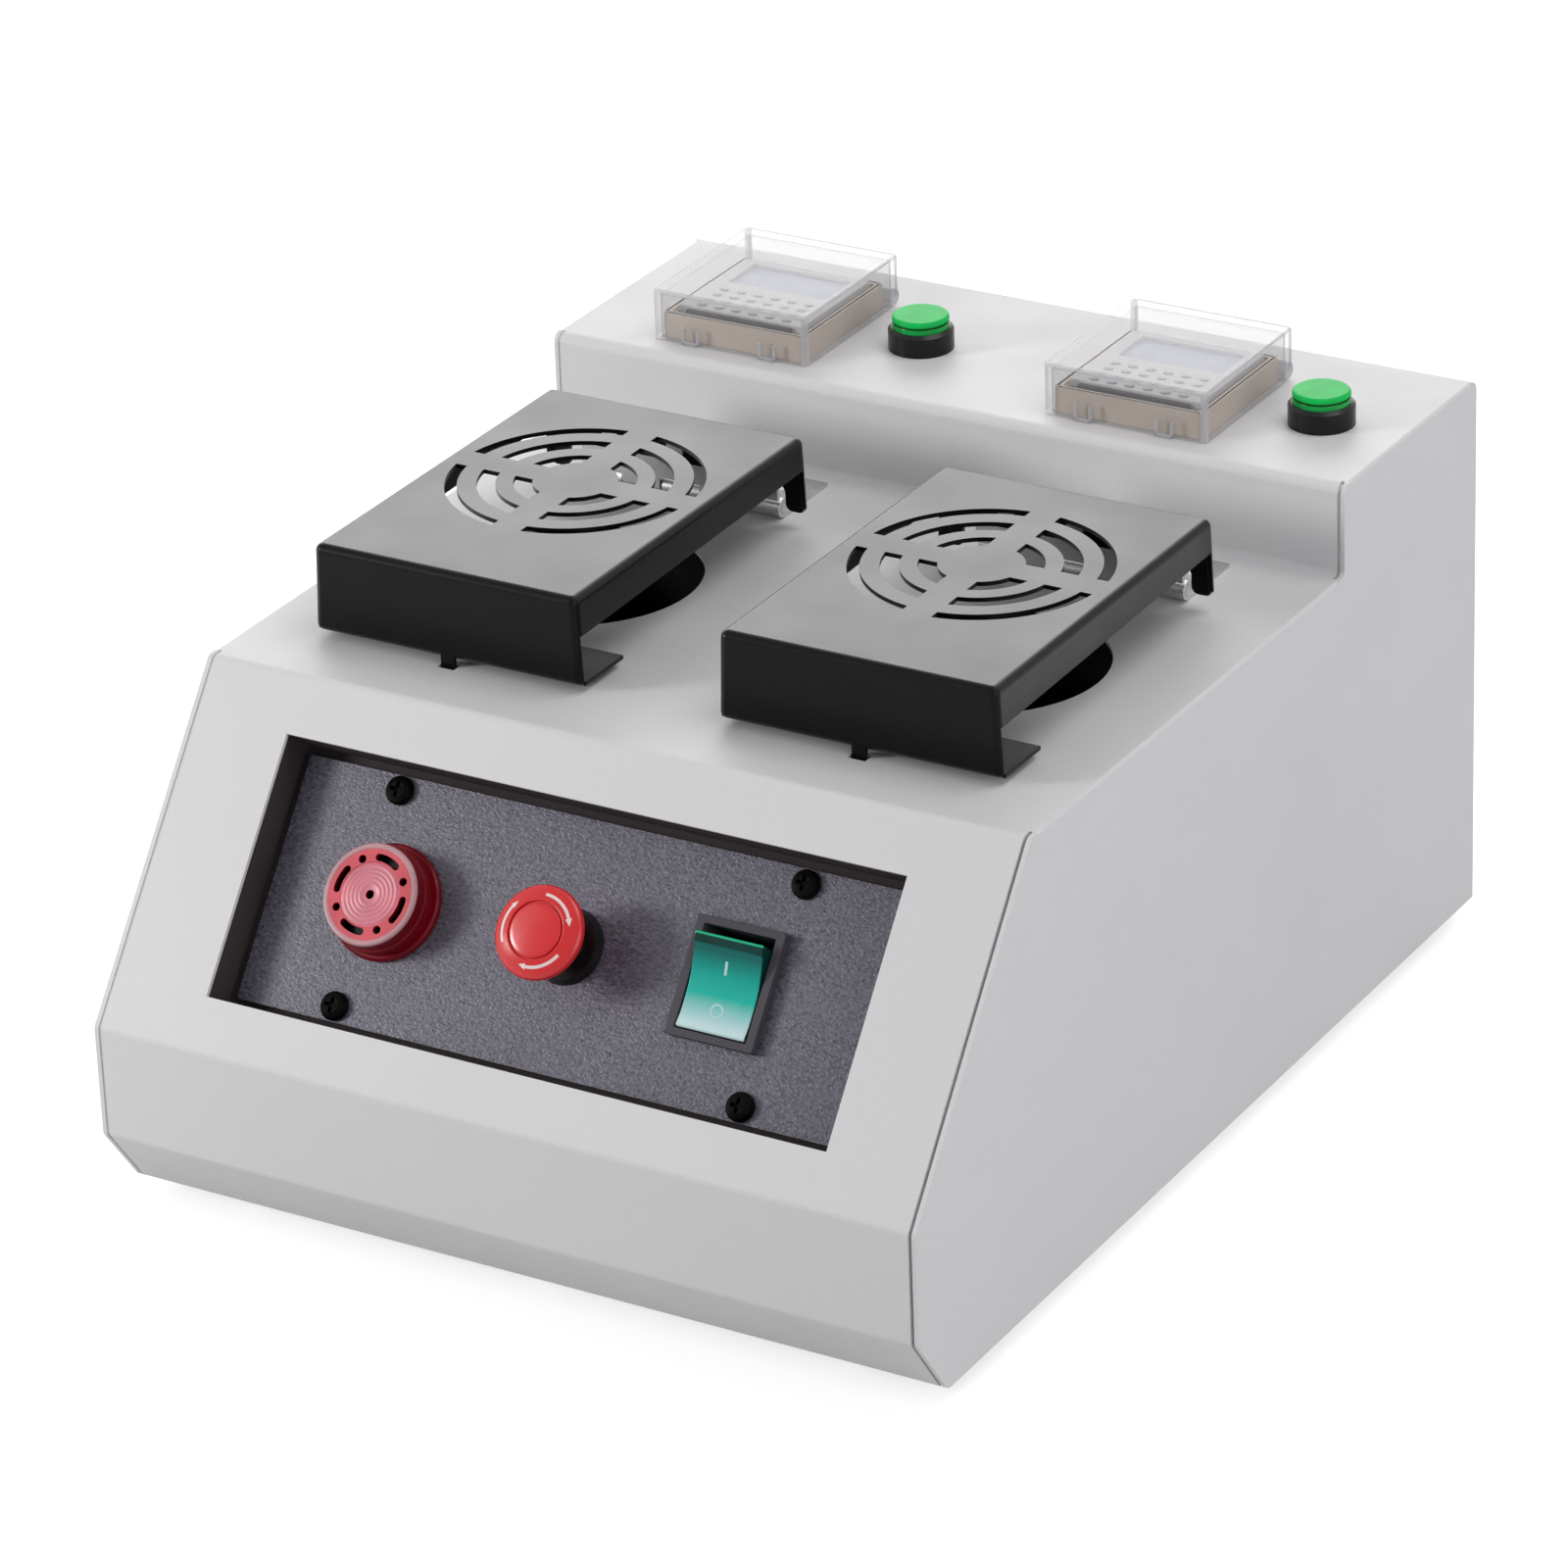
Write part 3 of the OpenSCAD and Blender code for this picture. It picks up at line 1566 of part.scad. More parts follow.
// Screw-flange mains inlet with its three flat pins and two screws
module power_inlet() {
    cavity_w = 24.2;
    cavity_h = 16.2;
    cavity_depth = 16;
    pin = [2, 10, 4];
    color("black")
    housing_frame()
    translate([inlet_x, back_y, inlet_z]) {
        difference() {
            union() {
                translate([0, inlet_flange_t, 0])
                    rotate([90, 0, 0]) plate(inlet_w, inlet_h, inlet_flange_t, 3);
                rotate([90, 0, 0]) plate(inlet_body_w, inlet_body_h, inlet_depth, 1);
            }
            translate([0, inlet_flange_t + eps, 0])
                rotate([90, 0, 0]) plate(cavity_w, cavity_h, cavity_depth, 2);
            for (x = [-1, 1])
                translate([x * inlet_screw_x, inlet_flange_t + 1, 0])
                    rotate([90, 0, 0]) cylinder(4 * inlet_flange_t, r = m3_r + hole_fit, $fn = 24);
        }
        for (p = [[-7, -2], [0, 2], [7, -2]])
            translate([p[0] - pin[0] / 2, inlet_flange_t - cavity_depth - eps, p[1] - pin[2] / 2])
                cube(pin);
    }
}

module power_supply() {
    color("silver")
    housing_frame()
    translate([supply_x, supply_y, sheet_t + base_t])
    difference() {
        translate([-supply_w / 2, -supply_l / 2, 0]) cube([supply_w, supply_l, supply_h]);
        for (x = [-30 : 10 : 30])
            translate([x, 0, supply_h]) cube([4, supply_l - 16, 3], center = true);
        translate([-supply_w / 2, -supply_l / 2 - eps, supply_h / 2]) cube([supply_w + eps, 10, supply_h]);
    }
}

module control_board() {
    board_z = sheet_t + base_t + standoff_h;
    color("seagreen")
    housing_frame()
    difference() {
        translate([board_x, board_y, board_z]) {
            plate(board_w, board_l, board_t);
            translate([0, 0, board_t - eps]) {
                for (x = [-28, -8])
                    translate([x - 8, -8, 0]) cube([16, 20, 15]);
                translate([-board_w / 2 + 12, -board_l / 2 + 3, 0]) cube([board_w - 24, 8, 10]);
                translate([24, 8, 0]) cylinder(14, r = 6);
                translate([10, -14, 0]) cube([22, 8, 3]);
            }
        }
        at_standoffs() translate([0, 0, board_z - 1]) cylinder(4, r = m3_r + hole_fit, $fn = 24);
    }
}

// Round standoffs, each with its upper and lower thread in one piece
module board_standoffs() {
    color("gold")
    housing_frame()
    at_standoffs() {
        translate([0, 0, sheet_t + base_t]) cylinder(standoff_h, r = 3, $fn = 32);
        translate([0, 0, sheet_t]) cylinder(standoff_h + base_t + board_t + 2, r = m3_r, $fn = 24);
    }
}

housing_wrap();
left_side_panel();
right_side_panel();
rear_panel();
base_plate();
rear_screws();
base_screws();
rubber_feet();
foot_screws();
panel_surround();
control_panel();
panel_screws();
buzzer_body();
buzzer_lens();
buzzer_nut();
stop_body();
stop_nut();
stop_plunger();
stop_head();
rocker_frame();
power_rocker();
left_well_cup();
right_well_cup();
lid_bumpers();
left_lid();
right_lid();
left_hinge_leaf();
right_hinge_leaf();
left_lid_rivets();
right_lid_rivets();
left_hinge_base();
right_hinge_base();
left_hinge_pin();
right_hinge_pin();
hinge_screws();
left_latch_solenoid();
right_latch_solenoid();
left_latch_plunger();
right_latch_plunger();
left_timer_case();
right_timer_case();
left_timer_face();
right_timer_face();
left_timer_lcd();
right_timer_lcd();
left_timer_keypad();
right_timer_keypad();
timer_clips();
left_timer_cover();
right_timer_cover();
left_button_body();
right_button_body();
left_start_button();
right_start_button();
button_nuts();
power_inlet();
power_supply();
control_board();
board_standoffs();
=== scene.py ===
import math

import bmesh
import bpy
from mathutils import Matrix, Vector


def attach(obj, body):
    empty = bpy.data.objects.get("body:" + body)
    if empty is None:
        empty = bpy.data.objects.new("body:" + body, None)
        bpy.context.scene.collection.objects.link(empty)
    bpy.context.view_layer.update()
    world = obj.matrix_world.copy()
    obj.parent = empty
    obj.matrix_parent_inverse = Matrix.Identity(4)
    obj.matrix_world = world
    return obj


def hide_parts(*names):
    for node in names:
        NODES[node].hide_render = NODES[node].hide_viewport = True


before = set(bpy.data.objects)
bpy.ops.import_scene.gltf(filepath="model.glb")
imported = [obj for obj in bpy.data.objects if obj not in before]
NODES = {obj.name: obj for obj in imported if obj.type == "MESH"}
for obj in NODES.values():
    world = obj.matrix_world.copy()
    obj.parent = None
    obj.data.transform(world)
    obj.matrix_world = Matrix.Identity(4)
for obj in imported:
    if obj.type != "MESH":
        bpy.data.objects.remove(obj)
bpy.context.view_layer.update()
MM = 0.001

# ---- camera, at the photograph's viewing angle ----

CAM_PLACE = (0.8825, -1.4685, 0.9127)
CAM_AZ, CAM_EL, CAM_ROLL = 31.21, 25.90, -2.18
CAM_LENS, CAM_SENSOR, CAM_CLIP = 166.84, 36, (0.05, 20)


def make_camera():
    """Perspective camera, turned by its azimuth, elevation and roll in degrees."""
    az, el, roll = (math.radians(v) for v in (CAM_AZ, CAM_EL, CAM_ROLL))
    back = Vector((math.sin(az) * math.cos(el), -math.cos(az) * math.cos(el), math.sin(el)))
    right = Vector((0, 0, 1)).cross(back).normalized()
    up = back.cross(right)
    x = math.cos(roll) * right + math.sin(roll) * up
    y = -math.sin(roll) * right + math.cos(roll) * up
    data = bpy.data.cameras.new("camera")
    data.lens, data.sensor_width = CAM_LENS, CAM_SENSOR
    data.clip_start, data.clip_end = CAM_CLIP
    cam = bpy.data.objects.new("camera", data)
    cam.matrix_world = Matrix.Translation(CAM_PLACE) @ Matrix((x, y, back)).transposed().to_4x4()
    bpy.context.scene.collection.objects.link(cam)
    bpy.context.scene.camera = cam


make_camera()

# ---- places, with the same sizes as in part.scad (mm, housing frame) ----

BODY_D, REAR_T, FOOT_H, INLET_FLANGE = 310.3, 1.5, 5.0, 2.6
FRONT_Y = -(BODY_D + REAR_T + INLET_FLANGE) / 2
SLOPE_Z, DECK_Y, DECK_Z, TOP_Z = 49.6, 61.5, 128.8, 154.2
SLOPE_A = math.atan2(DECK_Z - SLOPE_Z, DECK_Y)
OPENING_S, PANEL_DEPTH = 49.5, 10.4
PITCH = 120.6
HOUSING = Matrix.Translation(Vector((0, FRONT_Y, FOOT_H)) * MM) @ Matrix.Scale(MM, 4)


def on_slope(x, depth=PANEL_DEPTH):
    """Frame on the control panel: x across, y up the slope, z outward."""
    return (HOUSING @ Matrix.Translation((x, 0, SLOPE_Z))
            @ Matrix.Rotation(SLOPE_A, 4, "X") @ Matrix.Translation((0, OPENING_S, -depth)))


def on_top(side, dx, y):
    """Frame on the top deck, beside the middle of the left (-1) or right (1) station."""
    return HOUSING @ Matrix.Translation((side * PITCH / 2 + dx, y, TOP_Z))


BUZZER_X, ROCKER_X = -53.5, 46.8
BUZZER = on_slope(BUZZER_X)
STOP = on_slope(0)
ROCKER_AXIS_Z, ROCKER_SWING = -2.0, 20
ROCKER = (on_slope(ROCKER_X) @ Matrix.Translation((0, 0, ROCKER_AXIS_Z))
          @ Matrix.Rotation(math.radians(ROCKER_SWING / 2), 4, "X"))
SIDES = {"left": -1, "right": 1}
BUTTON_DX, BUTTON_Y = 35.7, 266.3
TIMER_DX, TIMER_Y = -8.9, 265.3

# ---- materials ----


def nodes_of(name):
    """Material with a shader that feeds its output, with its node tree and the shader."""
    m = bpy.data.materials.new(name)
    m.use_nodes = True
    t = m.node_tree
    t.nodes.clear()
    out = t.nodes.new("ShaderNodeOutputMaterial")
    shader = t.nodes.new("ShaderNodeBsdfPrincipled")
    t.links.new(shader.outputs[0], out.inputs[0])
    return m, t, shader


def noise(t, coords, scale, detail=2.0):
    """Noise from 0 to 1 in the node tree t."""
    n = t.nodes.new("ShaderNodeTexNoise")
    n.inputs["Scale"].default_value = scale
    n.inputs["Detail"].default_value = detail
    t.links.new(coords, n.inputs["Vector"])
    return n.outputs["Fac"]


def ramp(t, fac, stops):
    """Colour ramp through (place, colour) stops."""
    stops = list(stops)
    r = t.nodes.new("ShaderNodeValToRGB")
    while len(r.color_ramp.elements) < len(stops):
        r.color_ramp.elements.new(0.5)
    for e, (place, colour) in zip(r.color_ramp.elements, stops):
        e.position = place
        e.color = (*colour, 1)
    t.links.new(fac, r.inputs[0])
    return r.outputs[0]


def greys(places, values):
    return [(place, (value,) * 3) for place, value in zip(places, values)]


def scaled(colour, k):
    return tuple(min(1.0, c * k) for c in colour)


def set_sockets(shader, sockets):
    for key, value in sockets.items():
        shader.inputs[key.replace("_", " ")].default_value = value


NOISE_SPREAD = (0.3, 0.7)       # where noise meets the two ends of a ramp
GLANCE_SPREAD = (0.22, 0.55)    # the same for the angle of view


def surface(name, colour, rough, grain=(), tint=0.03, tint_scale=9.0, rough_var=0.05,
            rough_scale=45.0, stretch=None, glance=None, **sockets):
    """Procedural finish: tint and roughness that wander, and a bump from each (scale, depth) grain.

    glance is the strength of the gloss seen face on and seen edge on.
    """
    m, t, shader = nodes_of(name)
    if glance:
        facing = t.nodes.new("ShaderNodeLayerWeight").outputs["Facing"]
        t.links.new(ramp(t, facing, greys(GLANCE_SPREAD, glance)),
                    shader.inputs["Specular IOR Level"])
    coords = t.nodes.new("ShaderNodeTexCoord").outputs["Object"]
    if stretch:
        mapping = t.nodes.new("ShaderNodeMapping")
        mapping.inputs["Scale"].default_value = stretch
        t.links.new(coords, mapping.inputs["Vector"])
        coords = mapping.outputs["Vector"]
    tints = [scaled(colour, 1 - tint), scaled(colour, 1 + tint)]
    t.links.new(ramp(t, noise(t, coords, tint_scale, 4), zip(NOISE_SPREAD, tints)),
                shader.inputs["Base Color"])
    span = max(0.02, rough - rough_var), min(1.0, rough + rough_var)
    t.links.new(ramp(t, noise(t, coords, rough_scale, 3), greys(NOISE_SPREAD, span)),
                shader.inputs["Roughness"])
    normal = None
    for scale, depth in grain:
        bump = t.nodes.new("ShaderNodeBump")
        bump.inputs["Distance"].default_value = depth
        t.links.new(noise(t, coords, scale, 2), bump.inputs["Height"])
        if normal:
            t.links.new(normal, bump.inputs["Normal"])
        normal = bump.outputs["Normal"]
    if normal:
        t.links.new(normal, shader.inputs["Normal"])
    set_sockets(shader, sockets)
    return m


WANDER_SCALE = 260


def shaded(name, stops, rough, low, high, tint=0.05, **sockets):
    """Clear plastic whose colour changes along the piece's y, from low to high in mm: a painted
    gradient of light and shade.
    """
    m, t, shader = nodes_of(name)
    coords = t.nodes.new("ShaderNodeTexCoord").outputs["Object"]
    split = t.nodes.new("ShaderNodeSeparateXYZ")
    t.links.new(coords, split.inputs[0])
    span = t.nodes.new("ShaderNodeMapRange")
    span.inputs["From Min"].default_value = low * MM
    span.inputs["From Max"].default_value = high * MM
    t.links.new(split.outputs["Y"], span.inputs["Value"])
    wander = t.nodes.new("ShaderNodeMath")
    wander.operation = "MULTIPLY_ADD"
    wander.inputs[1].default_value = tint
    t.links.new(noise(t, coords, WANDER_SCALE, 3), wander.inputs[0])
    t.links.new(span.outputs[0], wander.inputs[2])
    t.links.new(ramp(t, wander.outputs[0], stops), shader.inputs["Base Color"])
    shader.inputs["Roughness"].default_value = rough
    set_sockets(shader, sockets)
    return m


# name: finish with its colour, roughness and (scale, depth in metres) of each grain
M = {
    "coat": surface("housing_powder_coat", (0.678, 0.666, 0.672), 0.5,
                    [(900, 0.00006), (2600, 0.00002)], tint=0.015, tint_scale=5, IOR=1.3),
    "lid": surface("lid_powder_coat", (0.004, 0.004, 0.005), 0.29, [(450, 0.000012)], tint=0.12,
                   rough_var=0.04, glance=(0.22, 0.56), IOR=1.32, Sheen_Weight=0.05,
                   Sheen_Roughness=0.35),
    # painted shade: dark grey for the strip in the right front seam, where the open gap lies in
    # shade
    "seam_shade": surface("seam_painted_shade_grey", (0.36, 0.35, 0.36), 0.7, [(900, 0.00005)], tint=0.05,
                    IOR=1.3),
    "well": surface("well_coat", (0.006, 0.006, 0.006), 0.42, [(900, 0.00005)], tint=0.15,
                    IOR=1.25),
    "panel": surface("panel_grained_plastic", (0.078, 0.072, 0.096), 0.36,
                     [(1500, 0.00015), (3600, 0.00006)], tint=0.75, tint_scale=1100,
                     stretch=(0.7, 1.2, 1.2), IOR=1.55, Specular_Tint=(0.94, 0.91, 1.0, 1.0)),
    # recess surround: black plastic, with a slight red-brown tint that is a painted reflection of
    # the red buzzer
    "surround": surface("surround_black_painted_red_reflection", (0.05, 0.041, 0.044), 0.6, [(1500, 0.00006)],
                        tint=0.1, IOR=1.15),
    "frame": surface("rocker_frame_plastic", (0.066, 0.060, 0.070), 0.45, [(1500, 0.00006)],
                     tint=0.1, IOR=1.25),
    "black": surface("black_moulded_plastic", (0.004, 0.0035, 0.004), 0.25, [(700, 0.00003)],
                     tint=0.1, IOR=1.35),
    "black_screw": surface("black_oxide", (0.0025, 0.0025, 0.0025), 0.5, [(1200, 0.00004)],
                           tint=0.2, IOR=1.12),
    "zinc": surface("zinc_plate", (0.62, 0.63, 0.65), 0.3, [(800, 0.00003)], tint=0.08,
                    tint_scale=60, Metallic=1.0),
    "steel": surface("hinge_bright_steel", (0.62, 0.61, 0.60), 0.34, [(400, 0.00002)], tint=0.06,
                     stretch=(1, 14, 14), Metallic=1.0),
    "brass": surface("standoff_brass", (0.72, 0.52, 0.24), 0.3, [(600, 0.00002)], tint=0.08,
                     Metallic=1.0),
    "rubber": surface("foot_rubber", (0.022, 0.022, 0.023), 0.8, [(1300, 0.00008)], tint=0.2),
    "stop": surface("stop_red_gloss", (0.64, 0.008, 0.012), 0.25, [(300, 0.00004)], tint=0.04,
                    IOR=1.4, Coat_Weight=0.35, Coat_Roughness=0.25),
    "white": surface("white_print", (0.80, 0.66, 0.64), 0.45, [(1500, 0.00003)], tint=0.03),
    # rocker face: painted highlight, pale at the low end, fading to painted shade, dark at the
    # raised end
    "rocker": shaded("rocker_green_painted_light",
                     [(0.0, (0.60, 0.76, 0.77)), (0.18, (0.32, 0.60, 0.59)),
                      (0.38, (0.004, 0.44, 0.35)), (0.62, (0.002, 0.36, 0.29)),
                      (0.88, (0.001, 0.13, 0.115))],
                     0.35, low=-10.5, high=11, IOR=1.3),
    # lighter and darker copies of the rocker's green: a painted highlight on its end lip, painted
    # shade on its sides and under the lip
    "rocker_lit_end": surface("rocker_lit_end_green", (0.005, 0.40, 0.20), 0.2, [(250, 0.00003)], tint=0.15,
                          tint_scale=120, IOR=1.4),
    "rocker_shaded_flank": surface("rocker_shaded_flank_green", (0.001, 0.035, 0.028), 0.3, [(250, 0.00003)],
                           tint=0.2, tint_scale=120, IOR=1.25),
    "rocker_mark": surface("rocker_white_mark", (0.42, 0.66, 0.64), 0.35, [(1500, 0.00003)],
                           tint=0.05),
    "button": surface("button_green_clear", (0.008, 0.50, 0.09), 0.3, [(300, 0.00003)], tint=0.1,
                      tint_scale=140, IOR=1.18, glance=(0.5, 0.3)),
    # darker copies of the cap's green: painted shade on its side wall and in its groove
    "button_shaded_wall": surface("button_shaded_wall_green", (0.003, 0.33, 0.05), 0.2, [(300, 0.00003)],
                           tint=0.15, tint_scale=140, IOR=1.3),
    "button_shaded_ring": surface("button_shaded_ring_green", (0.002, 0.10, 0.012), 0.4, [(300, 0.00003)],
                             tint=0.1, IOR=1.3),
    "beige": surface("timer_beige_plastic", (0.64, 0.53, 0.435), 0.5, [(1500, 0.00005)], tint=0.04),
    "face": surface("timer_face_plastic", (0.62, 0.61, 0.61), 0.5, [(1700, 0.00003)], tint=0.02,
                    IOR=1.3),
    "lcd": surface("timer_display", (0.42, 0.42, 0.51), 0.3, [(200, 0.00001)], tint=0.06, IOR=1.25),
    "key": surface("timer_keys", (0.44, 0.44, 0.45), 0.4, [(1500, 0.00004)], tint=0.05, IOR=1.3),
    "key_ring": surface("timer_key_edges", (0.14, 0.13, 0.15), 0.5, [(1500, 0.00004)], tint=0.05,
                        IOR=1.3),
    "board": surface("board_mask", (0.02, 0.13, 0.05), 0.3, [(500, 0.00006)], tint=0.2,
                     tint_scale=250),
    # clear cover: see-through, with a faint grey veil that is painted reflection
    "clear": surface("cover_clear_veil_painted_reflection", (0.46, 0.46, 0.48), 0.12, [(60, 0.00002)], tint=0.01,
                     rough_var=0.02, Alpha=0.17),
    # a whiter, more opaque copy of the clear plastic: painted highlight lines on the cover's edges,
    # and on its lugs
    "clear_bright": surface("cover_bright_painted_highlight", (0.52, 0.52, 0.54), 0.2, [(60, 0.00002)], tint=0.01,
                          rough_var=0.02, Alpha=0.55),
    # painted shade: a dark block laid in the gap in front of the timer's face plate
    "gap_shade": surface("timer_gap_painted_shade", (0.045, 0.032, 0.032), 0.6, [(1500, 0.00004)], tint=0.1,
                    IOR=1.3),
    # buzzer cap, one red plastic: the dark sides are painted shade, the pale rim is a painted
    # highlight, and the face zones are lighter than the sides, partly painted light
    "lens": surface("buzzer_red_painted_shade", (0.16, 0.001, 0.006), 0.3, [(250, 0.00004)], tint=0.25,
                    tint_scale=90, IOR=1.25),
    "lens_lit_rim": surface("buzzer_rim_painted_highlight", (0.46, 0.25, 0.27), 0.3, [(250, 0.00004)], tint=0.1,
                        tint_scale=120, IOR=1.4),
    "lens_band": surface("buzzer_band_red", (0.60, 0.075, 0.10), 0.3, [(250, 0.00004)], tint=0.15,
                         tint_scale=120, IOR=1.4),
    "lens_disc": surface("buzzer_disc_pink", (0.60, 0.17, 0.21), 0.38, [(250, 0.00004)], tint=0.15,
                         tint_scale=120, IOR=1.5),
}

def both(*names):
    """The left and the right piece of each name."""
    return [f"{side}_{name}" for name in names for side in SIDES]


FINISH = {
    "coat": ["housing_wrap", *both("side_panel"), "rear_panel"],
    "well": both("well_cup"),
    "panel": ["control_panel"],
    "surround": ["panel_surround"],
    "frame": ["rocker_frame"],
    "black": ["buzzer_body", "buzzer_nut", "stop_body", "stop_nut", "button_nuts",
              *both("button_body"), "power_inlet", "timer_clips"],
    "black_screw": ["panel_screws"],
    "zinc": ["base_plate", "rear_screws", "base_screws", "foot_screws", "power_supply",
             "stop_plunger", *both("latch_solenoid", "latch_plunger")],
    "steel": ["hinge_screws", *both("lid_rivets", "hinge_leaf", "hinge_base", "hinge_pin")],
    "brass": ["board_standoffs"],
    "rubber": ["rubber_feet", "lid_bumpers"],
    "beige": both("timer_case"),
    "board": ["control_board"],
}


def wear(o, material):
    o.data.materials.clear()
    o.data.materials.append(material)


BEVEL_ANGLE, BEVEL_SEGMENTS, WELD_DISTANCE = 28, 2, 2e-6


def soften(o, width):
    """Welds a CAD node's seams and rounds its edges a little, with modifiers only."""
    mesh = o.data
    if "custom_normal" in mesh.attributes:
        mesh.attributes.remove(mesh.attributes["custom_normal"])
    mesh.shade_smooth()
    weld = o.modifiers.new("weld", "WELD")
    weld.merge_threshold = WELD_DISTANCE
    bevel = o.modifiers.new("bevel", "BEVEL")
    bevel.width = width * MM
    bevel.segments = BEVEL_SEGMENTS
    bevel.limit_method = "ANGLE"
    bevel.angle_limit = math.radians(BEVEL_ANGLE)
    bevel.harden_normals = True
    bevel.use_clamp_overlap = False
    bevel.miter_outer = "MITER_ARC"


for finish, names in FINISH.items():
    for name in names:
        wear(NODES[name], M[finish])

# Bevel widths in mm
SOFT_EDGES = {
    0.15: both("hinge_base", "hinge_leaf"),
    0.25: ["rocker_frame"],
    0.3: ["power_inlet"],
    0.35: both("timer_case"),
}
for width, names in SOFT_EDGES.items():
    for name in names:
        soften(NODES[name], width)

# ---- mesh code for the detailed pieces (mm, in the piece's own frame) ----


def circle(r, z, count=96):
    """Ring of points about z."""
    turns = [2 * math.pi * k / count for k in range(count)]
    return [(r * math.cos(a), r * math.sin(a), z) for a in turns]


def rounded_rect(w, l, r, z, steps=6, middle=(0, 0)):
    """Ring of points round a rectangle with corner radius r; steps + 1 points a corner."""
    points = []
    for k, (sx, sy) in enumerate([(1, -1), (1, 1), (-1, 1), (-1, -1)]):
        for j in range(steps + 1):
            a = math.radians(-90 + 90 * k + 90 * j / steps)
            points.append((middle[0] + sx * (w / 2 - r) + r * math.cos(a),
                           middle[1] + sy * (l / 2 - r) + r * math.sin(a), z))
    return points


def arc(middle, r, start, end, steps):
    """Points of an arc in a profile, from the start to the end angle in degrees."""
    turns = [math.radians(start + (end - start) * j / steps) for j in range(steps + 1)]
    return [(middle[0] + r * math.cos(a), middle[1] + r * math.sin(a)) for a in turns]


def loft(bm, rings, finish=lambda i, k: 0, caps=(None, None)):
    """Skin through rings of points.

    finish(i, k) is the material of stretch i at point k. caps are the materials of the faces
    that close the first and the last ring, or None for an open end.
    """
    made = [[bm.verts.new(p) for p in ring] for ring in rings]
    count = max(len(ring) for ring in made)
    for i, (a, b) in enumerate(zip(made, made[1:])):
        for k in range(count):
            corners = [a[k % len(a)], a[(k + 1) % len(a)], b[(k + 1) % len(b)], b[k % len(b)]]
            corners = list(dict.fromkeys(corners))
            if len(corners) > 2:
                bm.faces.new(corners).material_index = finish(i, k)
    for ring, cap in zip((made[0], made[-1]), caps):
        if cap is not None:
            bm.faces.new(ring).material_index = cap


def lathe(bm, profile, finish=lambda i, k: 0, count=96):
    """Surface of revolution about z through (r, z) points."""
    loft(bm, [circle(r, z, count) if r > 0 else [(0, 0, z)] for r, z in profile], finish)


def block(bm, low, high, bevel=0.0):
    """Box between two corners with bevelled edges."""
    new = bmesh.ops.create_cube(bm, size=1)["verts"]
    for v in new:
        v.co = Vector([low[i] + (high[i] - low[i]) * (v.co[i] + 0.5) for i in range(3)])
    if bevel:
        edges = {e for v in new for e in v.link_edges}
        bmesh.ops.bevel(bm, geom=list(edges), offset=bevel, segments=2, profile=0.5,
                        affect="EDGES", material=-1)


def prism(bm, outline, low, high):
    """Outline of (x, y) points with straight sides from low to high."""
    loft(bm, [[(x, y, z) for x, y in outline] for z in (low, high)], caps=(0, 0))


def smooth(bm, sharp):
    """Smooth faces, with a crease at each edge that bends by more than sharp degrees."""
    for f in bm.faces:
        f.smooth = True
    for e in bm.edges:
        e.smooth = not (len(e.link_faces) == 2 and e.calc_face_angle(0) > math.radians(sharp))


def join_doubles(bm):
    bmesh.ops.remove_doubles(bm, verts=bm.verts, dist=1e-4)


def mesh_of(bm, materials, sharp):
    """Mesh in metres from a bmesh in millimetres."""
    bmesh.ops.recalc_face_normals(bm, faces=bm.faces)
    for v in bm.verts:
        v.co *= MM
    smooth(bm, sharp)
    mesh = bpy.data.meshes.new("piece")
    bm.to_mesh(mesh)
    bm.free()
    for m in materials:
        mesh.materials.append(M[m])
    return mesh


def piece(name, bm, place, body, materials, nodes=(), sharp=35, cutters=()):
    """Puts a finished mesh on its body, in place of nodes; cutters are solids taken out of it."""
    o = bpy.data.objects.new(name, mesh_of(bm, materials, sharp))
    o.matrix_world = place @ Matrix.Scale(1 / MM, 4)
    bpy.context.scene.collection.objects.link(o)
    if cutters:
        take_out(o, cutters, sharp)
    flat = o.modifiers.new("flat_faces", "WEIGHTED_NORMAL")
    flat.keep_sharp = True
    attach(o, body)
    if nodes:
        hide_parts(*nodes)
    return o


def take_out(o, cutters, sharp):
    """Takes each cutter out of the piece and keeps the mesh that is left."""
    tools = []
    for bm in cutters:
        tool = bpy.data.objects.new("cutter", mesh_of(bm, [], sharp))
        tool.matrix_world = o.matrix_world
        bpy.context.scene.collection.objects.link(tool)
        cut = o.modifiers.new("cut", "BOOLEAN")
        cut.operation, cut.solver, cut.object = "DIFFERENCE", "EXACT", tool
        cut.material_mode = "TRANSFER"
        tools.append(tool)
    bpy.context.view_layer.update()
    seen = o.evaluated_get(bpy.context.evaluated_depsgraph_get())
    cut_mesh = bpy.data.meshes.new_from_object(seen)
    o.modifiers.clear()
    o.data = cut_mesh
    for tool in tools:
        bpy.data.objects.remove(tool)
    bm = bmesh.new()
    bm.from_mesh(o.data)
    smooth(bm, sharp)
    bm.to_mesh(o.data)
    bm.free()


# ---- alarm buzzer: cap with fine rings, slots and holes, stepped sides darkened by painted shade, rim lit by a painted highlight ----

LENS_R, LENS_H, LENS_FLANGE_R, LENS_WALL, LENS_FLANGE_H = 13.8, 10.2, 15.3, 1.6, 2.0
SOUNDER_R = LENS_R - LENS_WALL
SOUND_R, SOUND_HOLE_R, SOUND_TURN, MIDDLE_HOLE_R = 9.7, 1.1, 31, 1.2
SLOT_HALF, SLOT_SWEEP = 0.95, 34


